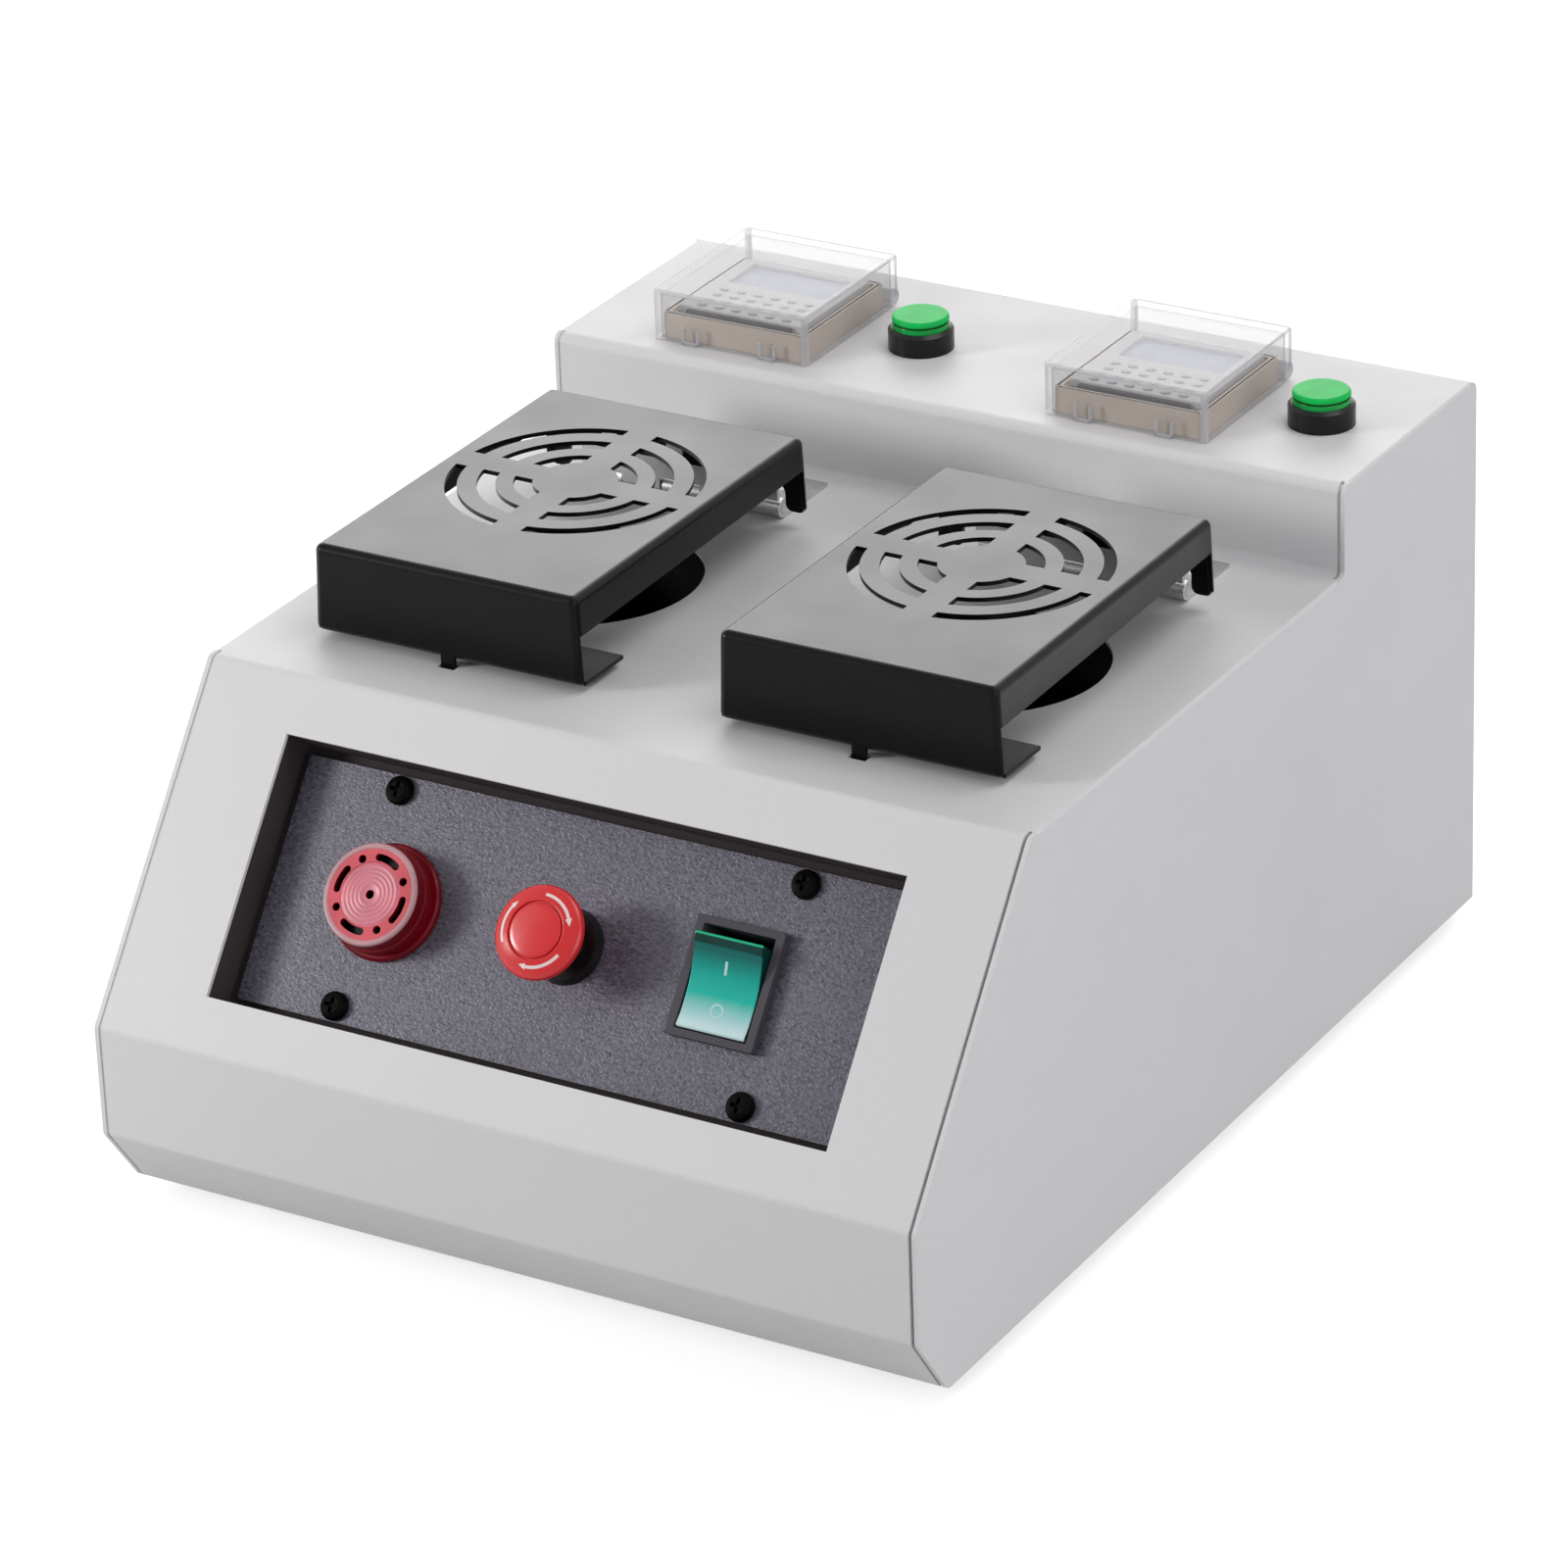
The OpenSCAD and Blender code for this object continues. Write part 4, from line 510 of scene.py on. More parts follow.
def arc_slot(r, half, start, end, low, high, steps=10):
    """Solid in the shape of an arc slot with round ends."""
    bm = bmesh.new()
    outer = arc((0, 0), r + half, start, end, steps)
    inner = arc((0, 0), r - half, end, start, steps)
    ends = []
    for a, turn in ((end, 0), (start, 180)):
        middle = (r * math.cos(math.radians(a)), r * math.sin(math.radians(a)))
        ends.append(arc(middle, half, a + turn, a + turn + 180, 6)[1:-1])
    prism(bm, outer + ends[0] + inner + ends[1], low, high)
    return bm


def rod(r, low, high, at=(0, 0)):
    bm = bmesh.new()
    prism(bm, [(at[0] + x, at[1] + y) for x, y, _ in circle(r, 0, 24)], low, high)
    return bm


def buzzer_cap():
    top, step, band_r, disc_r, ring = LENS_H, 5.6, 11.9, 8.05, 1.15
    side = [(SOUNDER_R + 0.3, 0), (LENS_FLANGE_R, 0), (LENS_FLANGE_R, LENS_FLANGE_H - 0.5),
            (LENS_FLANGE_R - 0.5, LENS_FLANGE_H), (LENS_R + 0.2, LENS_FLANGE_H),
            (LENS_R + 0.1, step), (LENS_R - 0.35, step + 0.25), (LENS_R - 0.4, top - 1.1)]
    rim = arc((LENS_R - 1.1, top - 0.7), 0.7, 0, 90, 5) + [(band_r + 0.2, top)]
    band = [(band_r, top - 0.2), (disc_r + 0.5, top - 0.2)]
    disc = [(disc_r + 0.25, top - 0.45), (disc_r, top - 0.45)]
    for k in range(int((disc_r - 1.5) / ring)):
        r = disc_r - k * ring
        disc += [(r - 0.2, top - 0.3), (r - 0.45, top - 0.2), (r - 0.75, top - 0.2),
                 (r - ring, top - 0.36)]
    disc += [(0, top - 0.3)]
    under = [(0, top - LENS_WALL), (SOUNDER_R + 0.3, top - LENS_WALL), (SOUNDER_R + 0.3, 0)]
    parts = (side, rim, band, disc, under)
    of_stretch = [k for k, part in zip((0, 1, 2, 3, 0), parts) for _ in part]
    bm = bmesh.new()
    lathe(bm, [p for part in parts for p in part], lambda i, k: of_stretch[i])
    join_doubles(bm)
    low, high = top - 2 * LENS_WALL, top + 1
    cutters = [rod(MIDDLE_HOLE_R, low, high)]
    for k in range(4):
        turn = SOUND_TURN + 90 * k
        a = math.radians(turn)
        at = (SOUND_R * math.cos(a), SOUND_R * math.sin(a))
        cutters.append(rod(SOUND_HOLE_R, low, high, at))
        cutters.append(arc_slot(SOUND_R, SLOT_HALF, turn + 45 - SLOT_SWEEP / 2,
                                turn + 45 + SLOT_SWEEP / 2, low, high))
    # materials: dark red sides of painted shade, a pale rim of painted highlight, and face zones
    # that are partly painted light
    piece("buzzer_cap", bm, BUZZER, "base", ["lens", "lens_lit_rim", "lens_band", "lens_disc"],
          ["buzzer_lens"], 40, cutters)


# ---- emergency stop: mushroom head with three turning arrows ----

STOP_R, STOP_H, STOP_SKIRT_Z, STOP_NECK_R, STOP_DISC_R = 12.2, 19.0, 7.6, 6.4, 7.1
ARROW_R, ARROW_HALF, ARROW_SWEEP, ARROW_START, ARROW_HEAD, ARROWS = 9.35, 0.38, 72, 90, 12, 3
CROWN_HALF, CROWN_HIGH, CROWN_LOW = 0.6, 0.72, 1.15     # slope of the crown under the arrows
ARROW_LIFT = 0.035


def stop_profile():
    """Dished skirt, round rim, sloping crown, groove and crowned middle disc."""
    rim = STOP_H - 3.4
    profile = [(0, STOP_SKIRT_Z), (STOP_NECK_R, STOP_SKIRT_Z),
               (STOP_NECK_R + 0.4, STOP_SKIRT_Z + 1.6), (STOP_R - 2.6, rim - 2.6),
               (STOP_R - 1.2, rim - 2.0)]
    profile += arc((STOP_R - 1.75, rim + 0.1), 1.75, -55, 68, 12)
    profile += [(ARROW_R + CROWN_HALF, STOP_H - CROWN_LOW),
                (ARROW_R - CROWN_HALF, STOP_H - CROWN_HIGH),
                (STOP_DISC_R + 1.0, STOP_H - 0.5)]
    profile += arc((STOP_DISC_R + 0.75, STOP_H - 0.85), 0.3, 60, 170, 4)
    profile += [(STOP_DISC_R + 0.4, STOP_H - 1.15), (STOP_DISC_R, STOP_H - 1.15)]
    profile += arc((STOP_DISC_R - 0.45, STOP_H - 0.85), 0.45, 0, 75, 5)
    crown = STOP_H - 0.42
    profile += [((STOP_DISC_R - 0.4) * (1 - t), crown + 0.42 * (1 - (1 - t) ** 2))
                for t in (0.15, 0.3, 0.45, 0.6, 0.75, 0.9, 1)]
    return profile


def crown_height(r):
    """Height of the sloping crown at radius r."""
    fall = (CROWN_LOW - CROWN_HIGH) / (2 * CROWN_HALF)
    return STOP_H - CROWN_HIGH - (r - ARROW_R + CROWN_HALF) * fall


def arrow(bm, start):
    """Thin curved arrow that lies just above the crown, head at its clockwise end."""
    steps = 24
    body_end = start - ARROW_SWEEP + ARROW_HEAD

    def at(r, a):
        a = math.radians(a)
        return bm.verts.new((r * math.cos(a), r * math.sin(a), crown_height(r) + ARROW_LIFT))

    pairs = [(at(ARROW_R - ARROW_HALF, a), at(ARROW_R + ARROW_HALF, a))
             for a in (start + (body_end - start) * j / steps for j in range(steps + 1))]
    for (a, b), (c, d) in zip(pairs, pairs[1:]):
        bm.faces.new((a, b, d, c)).material_index = 1
    wide = 2.1 * ARROW_HALF
    wings = (at(ARROW_R - wide, body_end), at(ARROW_R + wide, body_end))
    bm.faces.new((*wings, at(ARROW_R, body_end - ARROW_HEAD))).material_index = 1


def stop_head():
    bm = bmesh.new()
    lathe(bm, stop_profile(), count=128)
    join_doubles(bm)
    for k in range(ARROWS):
        arrow(bm, ARROW_START + k * 360 / ARROWS)
    piece("stop_mushroom", bm, STOP, "stop_head_body", ["stop", "white"],
          ["stop_head"], 32)


# ---- power rocker: lip lit by a painted highlight, long dished face with its two marks and painted light and shade, sides darkened by painted shade ----

ROCKER_W, ROCKER_L, ROCKER_SKIRT_Z = 19.6, 24.2, -4.0
ROCKER_FACE_H, ROCKER_VALLEY_H, ROCKER_CORNER, ROCKER_CURVE = 7.1, 5.0, 0.6, 1.4
# the lip material is a painted highlight; the sides and the band under the lip are painted shade
LIP, SIDE, MARK = 1, 2, 3       # materials of the key, after the one of its face
MARK_Y, MARK_T, MARK_LIFT = 4.4, 0.5, 0.03
BAR_W, BAR_L, CIRCLE_R, CIRCLE_DROP = 0.8, 3.4, 1.9, 2.0


def rocker_height(t):
    """Height of the dished face; t is 0 in its middle and 1 at its ends."""
    return ROCKER_VALLEY_H + (ROCKER_FACE_H - ROCKER_VALLEY_H) * abs(t) ** ROCKER_CURVE


def rocker_body():
    """Side view of the key, between two flat sides, with rounded rims and its materials."""
    half, rim_z = ROCKER_L / 2, ROCKER_FACE_H + 0.3 - ROCKER_CORNER
    outline = [(-half + 2.6, ROCKER_SKIRT_Z), (half - 2.6, ROCKER_SKIRT_Z),
               (half - 0.6, ROCKER_VALLEY_H)]
    outline += arc((half - ROCKER_CORNER, rim_z), ROCKER_CORNER, 0, 90, 4)
    outline += [(half - 2.6, ROCKER_FACE_H + 0.02)]
    outline += [(half * t, rocker_height(t)) for t in (0.7, 0.5, 0.3, 0.1, -0.1, -0.3, -0.5, -0.7)]
    outline += arc((-half + ROCKER_CORNER, rim_z), ROCKER_CORNER, 90, 180, 4)
    outline += [(-half + 0.6, ROCKER_VALLEY_H)]
    bm = bmesh.new()
    sides = [bm.faces.new([bm.verts.new((x, y, z)) for y, z in outline])
             for x in (-ROCKER_W / 2, ROCKER_W / 2)]
    for i in range(len(outline)):
        a, b = sides[0].verts[i], sides[0].verts[(i + 1) % len(outline)]
        c, d = sides[1].verts[(i + 1) % len(outline)], sides[1].verts[i]
        bm.faces.new((a, b, c, d))
    bmesh.ops.recalc_face_normals(bm, faces=bm.faces)
    rims = [e for f in sides for e in f.edges if e.verts[0].co.z > 0 and e.verts[1].co.z > 0]
    bmesh.ops.bevel(bm, geom=rims, offset=0.45, segments=3, profile=0.5, affect="EDGES")
    # painted light: the lip end gets the lighter green, and the sides and a band under the lip get
    # the darker green as shade
    for f in bm.faces:
        f.normal_update()
        y = f.calc_center_median().y
        if abs(f.normal.x) > 0.8:
            f.material_index = SIDE
        elif f.normal.y > 0.6 or y > half - 1.3:
            f.material_index = LIP
        elif y > half - 2.7:
            f.material_index = SIDE
    return bm


def rocker_marks(bm):
    """The line and the circle, just above the face and bent like it."""

    def quad(points):
        corners = [(x, y, rocker_height(2 * y / ROCKER_L) + MARK_LIFT) for x, y in points]
        bm.faces.new([bm.verts.new(p) for p in corners]).material_index = MARK

    step = BAR_L / 4
    for j in range(4):
        low = MARK_Y - BAR_L / 2 + step * j
        quad([(-BAR_W / 2, low), (BAR_W / 2, low),
              (BAR_W / 2, low + step), (-BAR_W / 2, low + step)])
    turns = 28
    middle, inner = -MARK_Y - CIRCLE_DROP, CIRCLE_R - MARK_T
    for j in range(turns):
        a, b = 2 * math.pi * j / turns, 2 * math.pi * (j + 1) / turns
        quad([(r * math.cos(t), middle + r * math.sin(t))
              for r, t in ((CIRCLE_R, a), (CIRCLE_R, b), (inner, b), (inner, a))])


def rocker_key():
    bm = rocker_body()
    rocker_marks(bm)
    piece("rocker_key", bm, ROCKER, "power_rocker_body",
          ["rocker", "rocker_lit_end", "rocker_shaded_flank", "rocker_mark"],
          ["power_rocker"], 28)


# ---- start buttons: clear green caps, with painted shade in the groove and on the side wall ----

BUTTON_CAP_R, BUTTON_CAP_H = 7.8, 9.6


def button_cap(side):
    """Cap with straight sides, a groove under its top and a crowned top."""
    r, h = BUTTON_CAP_R, BUTTON_CAP_H
    profile = [(0, 1), (r, 1), (r, h - 2.3), (r - 0.15, h - 2.0), (r - 0.55, h - 1.95),
               (r - 0.55, h - 1.5), (r - 0.15, h - 1.45), (r, h - 1.25)]
    profile += arc((r - 0.9, h - 0.9), 0.9, 0, 84, 6)
    profile += [(r * t, h - 0.06 * t ** 2) for t in (0.8, 0.6, 0.4, 0.2)] + [(0, h)]
    bm = bmesh.new()
    # the groove and the side wall get darker copies of the green, as painted shade
    groove, side_wall = (3, 4, 5), (1, 2, 6)
    lathe(bm, profile, lambda i, k: 1 if i in groove else 2 if i in side_wall else 0)
    join_doubles(bm)
    piece(f"{side}_start_cap", bm, on_top(SIDES[side], BUTTON_DX, BUTTON_Y),
          f"{side}_start_button_body", ["button", "button_shaded_ring", "button_shaded_wall"],
          [f"{side}_start_button"], 40)


# ---- timers: face with display and keys, clear cover ----

COVER_W, COVER_L, COVER_H, COVER_T, COVER_GAP, COVER_LOW = 48.2, 51.0, 14.6, 1.5, 0.5, 0.3
COVER_AXIS_R, RIB_W, RIB_GAP = 2.4, 26.0, 0.3
BEZEL_H, FACE_INSET, FACE_T, FACE_RISE = 7.5, 2.6, 2.4, 1.2
BEZEL_W = COVER_W - 2 * COVER_T - 2 * COVER_GAP
BEZEL_FRONT = -COVER_L / 2 + COVER_T + COVER_GAP
BEZEL_BACK = COVER_L / 2 - 2 * COVER_AXIS_R - 0.3
BEZEL_Y, BEZEL_L = (BEZEL_FRONT + BEZEL_BACK) / 2, BEZEL_BACK - BEZEL_FRONT
FACE_W, FACE_L = BEZEL_W - 2 * FACE_INSET, BEZEL_L - 2 * FACE_INSET
LCD_W, LCD_L, LCD_Y, LCD_SINK = 31.0, 14.5, FACE_L / 4 - 0.6, 0.7
SLIT, SLIT_HALF_W = 1.5, 0.42 * FACE_W
KEY_COLS, KEY_ROWS, KEY_PITCH_X, KEY_PITCH_Y, KEY_R, KEY_SQUASH = 6, 4, 5.3, 4.0, 1.25, 0.72
CLIP_OUT, CLIP_IN, CLIP_LOW, CLIP_BAR_TOP, CLIP_TOP, CLIP_T = 2.65, 1.75, 0.3, 1.2, 4.9, 0.85
LCD_MIDDLE = (0, BEZEL_Y + LCD_Y)
COVER_AXIS_Y, COVER_AXIS_Z = COVER_L / 2 - COVER_AXIS_R, COVER_AXIS_R + COVER_LOW


def timer_place(side):
    return on_top(SIDES[side], TIMER_DX, TIMER_Y)


def key_places():
    """Middles of the keys, row by row."""
    return [((col - (KEY_COLS - 1) / 2) * KEY_PITCH_X,
             BEZEL_Y - FACE_L / 4 + (row - (KEY_ROWS - 1) / 2) * KEY_PITCH_Y)
            for row in range(KEY_ROWS) for col in range(KEY_COLS)]


def timer_plate(side):
    """Face plate with rounded edges and a sunk window for the display."""
    top, long, middle = BEZEL_H + FACE_RISE, FACE_L - SLIT, (0, BEZEL_Y + SLIT / 2)
    bm, window = bmesh.new(), bmesh.new()
    loft(bm, [rounded_rect(FACE_W - less, long - less, r, top - down, middle=middle)
              for less, r, down in ((0, 0.8, FACE_T), (0, 0.8, 0.4), (0.25, 0.7, 0.12),
                                    (0.8, 0.5, 0))], caps=(0, 0))
    loft(window, [rounded_rect(LCD_W + more, LCD_L + more, r, z, middle=LCD_MIDDLE)
                  for more, r, z in ((-0.6, 0.3, top - LCD_SINK), (0.6, 0.9, top + 0.5))],
         caps=(0, 0))
    piece(f"{side}_timer_plate", bm, timer_place(side), "base", ["face"],
          [f"{side}_timer_face"], 30, [window])


def timer_front(side):
    """Display, keys and a dark block of painted shade in the gap in front of the face plate."""
    place, top = timer_place(side), BEZEL_H + FACE_RISE
    bm = bmesh.new()
    loft(bm, [rounded_rect(LCD_W - 0.7, LCD_L - 0.7, 0.3, top - LCD_SINK + rise, middle=LCD_MIDDLE)
              for rise in (-0.1, 0.05)], caps=(0, 0))
    piece(f"{side}_timer_display", bm, place, "base", ["lcd"], [f"{side}_timer_lcd"])
    # a dark block in the gap, painted shade over the bezel's beige floor
    bm = bmesh.new()
    slit_y = BEZEL_Y - FACE_L / 2
    block(bm, (-SLIT_HALF_W, slit_y + 0.1, top - FACE_T + 0.02),
          (SLIT_HALF_W, slit_y + SLIT - 0.1, BEZEL_H + 0.5), 0.1)
    piece(f"{side}_timer_gap_shade", bm, place, "base", ["gap_shade"])
    bm = bmesh.new()
    profile = [(KEY_R + 0.25, -0.1), (KEY_R + 0.2, 0.03), (KEY_R, 0.05), (KEY_R - 0.15, 0.3),
               (KEY_R - 0.5, 0.42)]
    for x, y in key_places():
        rings = [[(x + px, y + KEY_SQUASH * py, z) for px, py, z in circle(r, top + rise, 20)]
                 for r, rise in profile]
        loft(bm, rings, lambda i, k: 1 if i < 2 else 0, (None, 0))
    piece(f"{side}_timer_keys", bm, place, "base", ["key", "key_ring"],
          [f"{side}_timer_keypad"])


def timer_window(side):
    """Clear box with rounded edges, open below and cut away at the rear for its hinge."""
    edge, corner, inner, top, shrink = 0.8, 1.5, 0.8, COVER_H, 0.4
    rings = [rounded_rect(COVER_W, COVER_L, corner, COVER_LOW)]
    rings += [rounded_rect(COVER_W - 2 * (edge - r), COVER_L - 2 * (edge - r), corner - edge + r, z)
              for r, z in arc((0, top - edge), edge, 0, 90, 4)]
    wide, long = COVER_W - 2 * COVER_T, COVER_L - 2 * COVER_T
    inside = [rounded_rect(wide, long, inner, z) for z in (COVER_LOW, top - COVER_T - shrink)]
    inside += [rounded_rect(wide - 2 * shrink, long - 2 * shrink, inner - shrink, top - COVER_T)]
    bm = bmesh.new()
    # the rounded edges and corners get the whiter clear, a painted highlight
    for skin in (rings, inside):
        loft(bm, skin, lambda i, k: 1 if i > 0 or k % 7 < 6 else 0, (None, 0))
    loft(bm, [inside[0], rings[0]], lambda i, k: 1)
    join_doubles(bm)
    rear, rib = bmesh.new(), bmesh.new()
    near = COVER_AXIS_Y - COVER_AXIS_R
    block(rear, (-COVER_W, near, -1), (COVER_W, COVER_L, COVER_AXIS_Z))
    block(rib, (-RIB_W / 2 - RIB_GAP, near, -1),
          (RIB_W / 2 + RIB_GAP, COVER_L, COVER_AXIS_Z + COVER_AXIS_R + RIB_GAP))
    piece(f"{side}_timer_window", bm, timer_place(side), f"{side}_timer_cover_body",
          ["clear", "clear_bright"], [f"{side}_timer_cover"], 50, [rear, rib])


def cover_lugs(side):
    """The two rear barrels and the two front clips of a cover."""
    bm = bmesh.new()
    for s in (-1, 1):
        low, high = sorted((s * (RIB_W / 2 + RIB_GAP), s * COVER_W / 2))
        loft(bm, [[(x, COVER_AXIS_Y + py, COVER_AXIS_Z + pz) for py, pz, _ in circle(r, 0, 40)]
                  for x, r in ((low, COVER_AXIS_R - 0.3), (low + 0.3, COVER_AXIS_R),
                               (high - 0.3, COVER_AXIS_R), (high, COVER_AXIS_R - 0.3))],
             caps=(0, 0))
        front, x = -COVER_L / 2, s * COVER_W / 4
        for left, right, clip_top in ((-CLIP_OUT, -CLIP_IN, CLIP_TOP),
                                      (CLIP_IN, CLIP_OUT, CLIP_TOP),
                                      (-CLIP_OUT, CLIP_OUT, CLIP_BAR_TOP)):
            block(bm, (x + left, front - CLIP_T, CLIP_LOW),
                  (x + right, front - 0.01, clip_top), 0.2)
    # the lugs wear the same whiter clear as the edges, a painted highlight
    piece(f"{side}_cover_lugs", bm, timer_place(side), f"{side}_timer_cover_body", ["clear_bright"])


# ---- housing: filler strips in the open corner seams, one dark with painted shade ----

BODY_W, SIDE_T, SEAM, BEND_OUT, BEND_IN = 240, 1.2, 1.0, 3.0, 1.8
CHAMFER_Y, CHAMFER_Z, TOP_D = 13.5, 18.7, 79.1
STRIP_T, STRIP_PLAY, STRIP_DEPTH = 0.6, 0.01, {"left": 0.3, "right": 0.75}
RISER_Y = BODY_D - TOP_D
SEAM_PATHS = {
    "front": [(CHAMFER_Y, 0), (0, CHAMFER_Z), (0, SLOPE_Z), (DECK_Y, DECK_Z),
              (DECK_Y + BEND_OUT, DECK_Z)],
    "riser": [(RISER_Y - BEND_OUT, DECK_Z), (RISER_Y, DECK_Z), (RISER_Y, TOP_Z),
              (RISER_Y + BEND_OUT, TOP_Z)],
}


def sunk(path, depth):
    """The bent path of the folded sheet as (y, z) points, moved inwards by depth."""
    points = [Vector(p) for p in path]

    def inward(a, b):
        d = (b - a).normalized()
        return Vector((d.y, -d.x))

    line = [points[0] + depth * inward(points[0], points[1])]
    for a, b, c in zip(points, points[1:], points[2:]):
        u, v = (a - b).normalized(), (c - b).normalized()
        outward_bend = (b - a).cross(c - b) < 0
        r = BEND_OUT if outward_bend else BEND_IN
        half = math.acos(max(-1, min(1, u.dot(v)))) / 2
        centre = b + (u + v).normalized() * r / math.sin(half)
        start, end = (b + w * r / math.tan(half) - centre for w in (u, v))
        at = r - depth if outward_bend else r + depth
        line += [centre + start.lerp(end, k / 6).normalized() * at for k in range(7)]
    return line + [points[-1] + depth * inward(points[-2], points[-1])]


def seam_fill(side):
    """A strip in each open seam; only the one at the right of the front is dark, painted shade of
    the open gap.
    """
    depth = STRIP_DEPTH[side]
    outer = SIDES[side] * (BODY_W / 2 - SIDE_T - STRIP_PLAY)
    inner = outer - SIDES[side] * (SEAM - 2 * STRIP_PLAY)
    for name, path in SEAM_PATHS.items():
        near, far = sunk(path, depth), sunk(path, depth + STRIP_T)
        # the right front strip is dark grey, painted shade of the open gap
        finish = "seam_shade" if (side, name) == ("right", "front") else "coat"
        bm = bmesh.new()
        rows = [[bm.verts.new((x, y, z)) for y, z in line] for line, x in
                ((near, inner), (near, outer), (far, outer), (far, inner))]
        for a, b in zip(rows, rows[1:] + rows[:1]):
            for i in range(len(near) - 1):
                bm.faces.new((a[i], a[i + 1], b[i + 1], b[i]))
        for i in (0, len(near) - 1):
            bm.faces.new([row[i] for row in rows])
        bmesh.ops.recalc_face_normals(bm, faces=bm.faces)
        piece(f"{side}_{name}_seam", bm, HOUSING, "base", [finish])


# ---- lids: folded shell with rounded corners, grille, lip, legs and latch tongue ----

LID_W, LID_FRONT, LID_BACK, LID_H, LID_T = 79.0, 81.8, 197.0, 26.5, 1.2
LID_BEND, LID_GAP, LID_FLANGE, LID_FLANGE_REAR, LID_LIP, LID_FLARE = 2.2, 2.0, 10.8, 9.0, 20.0, 1.0
LEG_W, LEG_Z, LEG_ROUND, REAR_WINDOW_Z, REAR_WINDOW_ROUND = 6.0, 4.6, 2.0, 12.3, 3.0
WELL_Y, SPOKE_W, GRILLE = 146.0, 8.6, ((34.2, 3.3), (25.8, 5.0), (16.2, 5.0))
TONGUE_W, TONGUE_DROP, LATCH_Z, LATCH_HOLE_R = 4.2, 11.5, -7.5, 1.8


def lid_rings(t, r):
    """Rings of the shell t inside its outer face, with bends of radius r, from the foot up."""
    low, high, steps = LID_GAP + LID_BEND, LID_H - LID_BEND, 6
    slope = LID_FLARE / (high - LID_GAP)
    rings = []

    def ring(z, inset, front=0.0):
        w = LID_W - 2 * (t + inset) + 2 * slope * max(0.0, high - z)
        l = LID_BACK - LID_FRONT - 2 * (t + inset) - front
        middle = (0, (LID_FRONT + LID_BACK + front) / 2)
        rings.append(rounded_rect(w, l, max(r - inset, 0.05), z, 6, middle))

    for y, z in arc((0, 0), r, -90, 0, steps):
        ring(low + z, 0, r - y)
    for x, z in arc((0, 0), r, 0, 90, steps):
        ring(high + z, r - x)
    return rings


def slot_of_grille(outer, width, quarter):
    """Solid of one slot: an arc with ends parallel to the spokes."""
    lines = []
    for r in (outer, outer - width):
        a = math.degrees(math.asin(SPOKE_W / 2 / r))
        lines.append(arc((0, 0), r, a, 90 - a, 24))
    turn = Matrix.Rotation(math.radians(90 * quarter), 2)
    outline = [turn @ Vector(p) for p in lines[0] + lines[1][::-1]]
    bm = bmesh.new()
    prism(bm, [(p.x, p.y + WELL_Y) for p in outline], LID_H - 2 * LID_T, LID_H + LID_T)
    return bm


def across_x(outline, low, high):
    """Outline of (y, z) points with straight sides along x."""
    bm = bmesh.new()
    loft(bm, [[(x, y, z) for y, z in outline] for x in (low, high)], caps=(0, 0))
    return bm


def along_y(outline, low, high):
    """Outline of (x, z) points with straight sides along y."""
    bm = bmesh.new()
    loft(bm, [[(x, y, z) for x, z in outline] for y in (low, high)], caps=(0, 0))
    return bm


def below_legs():
    """What is cut from the rear wall: the window, and the space under the rounded feet."""
    edge, under = LID_W / 2, -20.0
    half = [(edge + 3, under), (edge + 3, LEG_Z + LEG_ROUND)]
    half += arc((edge - LEG_ROUND, LEG_Z + LEG_ROUND), LEG_ROUND, 0, -90, 6)
    half += arc((edge - LEG_W + LEG_ROUND, LEG_Z + LEG_ROUND), LEG_ROUND, -90, -180, 6)
    half += arc((edge - LEG_W - REAR_WINDOW_ROUND, REAR_WINDOW_Z - REAR_WINDOW_ROUND),
                REAR_WINDOW_ROUND, 0, 90, 6)
    return along_y(half + [(-x, z) for x, z in half[::-1]], LID_BACK - LID_BEND - 0.4, LID_BACK + 3)


def lid_shell():
    """Walls and top of the lid as a closed skin, and what is cut out of them."""
    bm = bmesh.new()
    outer, inner = lid_rings(0, LID_BEND), lid_rings(LID_T, LID_BEND - LID_T)
    loft(bm, outer, caps=(None, 0))
    loft(bm, inner, caps=(None, 0))
    loft(bm, [inner[0], outer[0]])
    join_doubles(bm)
    flange = [(LID_FRONT + LID_T + 0.2, -20), (LID_FRONT + LID_T + 0.2, LID_H - LID_FLANGE),
              (LID_BACK - LID_BEND, LID_H - LID_FLANGE_REAR), (LID_BACK - LID_BEND, -20)]
    cutters = [across_x(flange, -LID_W, LID_W), below_legs()]
    cutters += [slot_of_grille(r, w, k) for r, w in GRILLE for k in range(4)]
    return bm, cutters


def lid(side):
    place = HOUSING @ Matrix.Translation((SIDES[side] * PITCH / 2, 0, DECK_Z))
    body = f"{side}_lid_body"
    bm, cutters = lid_shell()
    piece(f"{side}_lid_shell", bm, place, body, ["lid"], [f"{side}_lid"], 40, cutters)
    bm = bmesh.new()
    wide = LID_W / 2 + LID_FLARE
    block(bm, (-wide, LID_FRONT + LID_BEND - 0.4, LID_GAP),
          (wide, LID_FRONT + LID_LIP, LID_GAP + LID_T), 0.25)
    piece(f"{side}_lid_lip", bm, place, body, ["lid"])
    bm = bmesh.new()
    block(bm, (-TONGUE_W / 2, LID_FRONT + 0.03, -TONGUE_DROP),
          (TONGUE_W / 2, LID_FRONT + LID_T, LID_GAP + 3), 0.2)
    hole = along_y([(x, LATCH_Z + z) for x, z, _ in circle(LATCH_HOLE_R, 0, 28)],
                   LID_FRONT - LID_T, LID_FRONT + 2 * LID_T)
    piece(f"{side}_lid_tongue", bm, place, body, ["lid"], cutters=[hole])


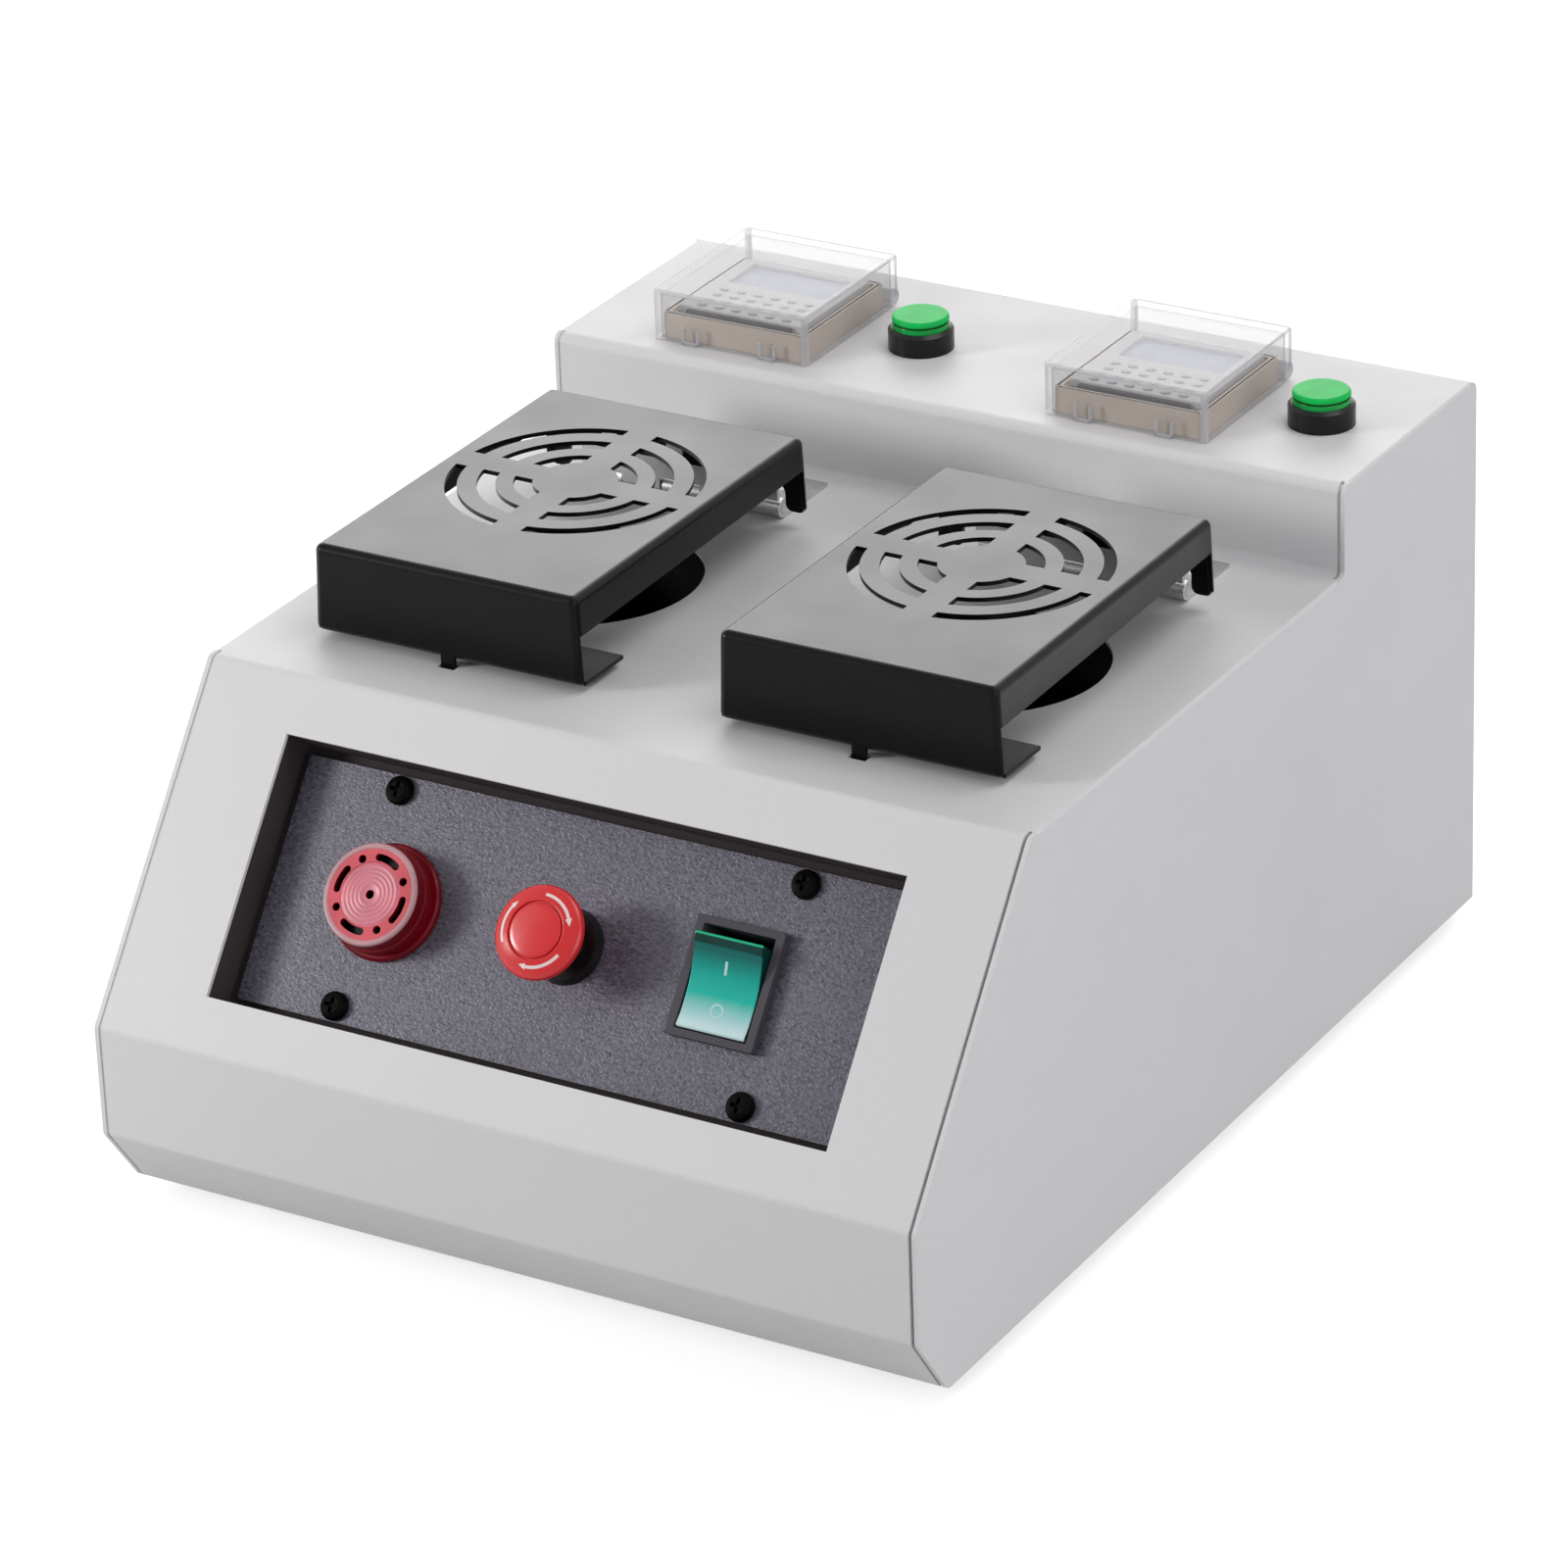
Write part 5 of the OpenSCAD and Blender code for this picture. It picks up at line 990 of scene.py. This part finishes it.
buzzer_cap()
stop_head()
rocker_key()
for station in SIDES:
    button_cap(station)
    timer_plate(station)
    timer_front(station)
    timer_window(station)
    cover_lugs(station)
    lid(station)
    seam_fill(station)


# ---- floor, world and lamps ----


def either(t, path, *rays):
    """1 for the kinds of ray that are named, 0 for the others."""
    value = path.outputs[rays[0]]
    for ray in rays[1:]:
        top = t.nodes.new("ShaderNodeMath")
        top.operation = "MAXIMUM"
        t.links.new(value, top.inputs[0])
        t.links.new(path.outputs[ray], top.inputs[1])
        value = top.outputs[0]
    return value


SEEN = ("Is Camera Ray", "Is Glossy Ray", "Is Transmission Ray")


FLOOR_SIZE, FLOOR_GREY, FLOOR_GLOW = 12, 0.55, 0.65
WORLD_COLOUR, WORLD_DIM = (0.96, 0.97, 1.0, 1), 0.25
WHITE = (1, 1, 1, 1)


def make_stage():
    """Floor of white paper, whose glow only shows and lights nothing."""
    m, t, shader = nodes_of("floor_paper")
    shader.inputs["Base Color"].default_value = (FLOOR_GREY, FLOOR_GREY, FLOOR_GREY, 1)
    shader.inputs["Roughness"].default_value = 0.9
    path = t.nodes.new("ShaderNodeLightPath")
    glow = t.nodes.new("ShaderNodeMath")
    glow.operation = "MULTIPLY"
    glow.inputs[1].default_value = FLOOR_GLOW
    t.links.new(either(t, path, *SEEN), glow.inputs[0])
    shader.inputs["Emission Color"].default_value = WHITE
    t.links.new(glow.outputs[0], shader.inputs["Emission Strength"])
    bpy.ops.mesh.primitive_plane_add(size=FLOOR_SIZE)
    floor = bpy.context.object
    floor.name = "floor"
    wear(floor, m)


def make_world():
    """White where it is seen, dim where it lights."""
    w = bpy.data.worlds.new("world")
    bpy.context.scene.world = w
    w.use_nodes = True
    t = w.node_tree
    t.nodes.clear()
    out = t.nodes.new("ShaderNodeOutputWorld")
    dim, white, mix = (t.nodes.new(k) for k in
                       ("ShaderNodeBackground", "ShaderNodeBackground", "ShaderNodeMixShader"))
    for node, colour, strength in ((dim, WORLD_COLOUR, WORLD_DIM), (white, WHITE, 1.0)):
        node.inputs[0].default_value = colour
        node.inputs[1].default_value = strength
    path = t.nodes.new("ShaderNodeLightPath")
    t.links.new(either(t, path, *SEEN), mix.inputs[0])
    t.links.new(dim.outputs[0], mix.inputs[1])
    t.links.new(white.outputs[0], mix.inputs[2])
    t.links.new(mix.outputs[0], out.inputs[0])


LAMP_AIM = Vector((0, 0, 0.09))


def lamp(name, direction, distance, size, power, colour=(1, 1, 1)):
    """Rectangular lamp at a distance from the object, turned to its middle."""
    place = LAMP_AIM + Vector(direction).normalized() * distance
    data = bpy.data.lights.new(name, "AREA")
    data.shape, data.size, data.size_y = "RECTANGLE", *size
    data.energy, data.color = power, colour
    o = bpy.data.objects.new(name, data)
    o.location = place
    o.rotation_euler = (LAMP_AIM - place).to_track_quat("-Z", "Y").to_euler()
    bpy.context.scene.collection.objects.link(o)


make_stage()
make_world()
lamp("key", (-0.71, -0.61, 0.28), 1.35, (0.3, 0.3), 9.2)
lamp("panel_softbox", (-0.70, -0.56, 0.58), 1.8, (0.7, 0.9), 1.8)
lamp("back_softbox", (-0.48, 0.76, 0.44), 2.2, (2.2, 1.1), 27.5)
lamp("side_softbox", (1.0, -0.31, 0.33), 1.6, (1.4, 1.0), 8.5, (0.97, 0.97, 1.0))
lamp("overhead", (0.36, 0.18, 0.9), 1.6, (1.0, 1.0), 8.8)

bpy.context.scene.view_settings.view_transform = "Standard"
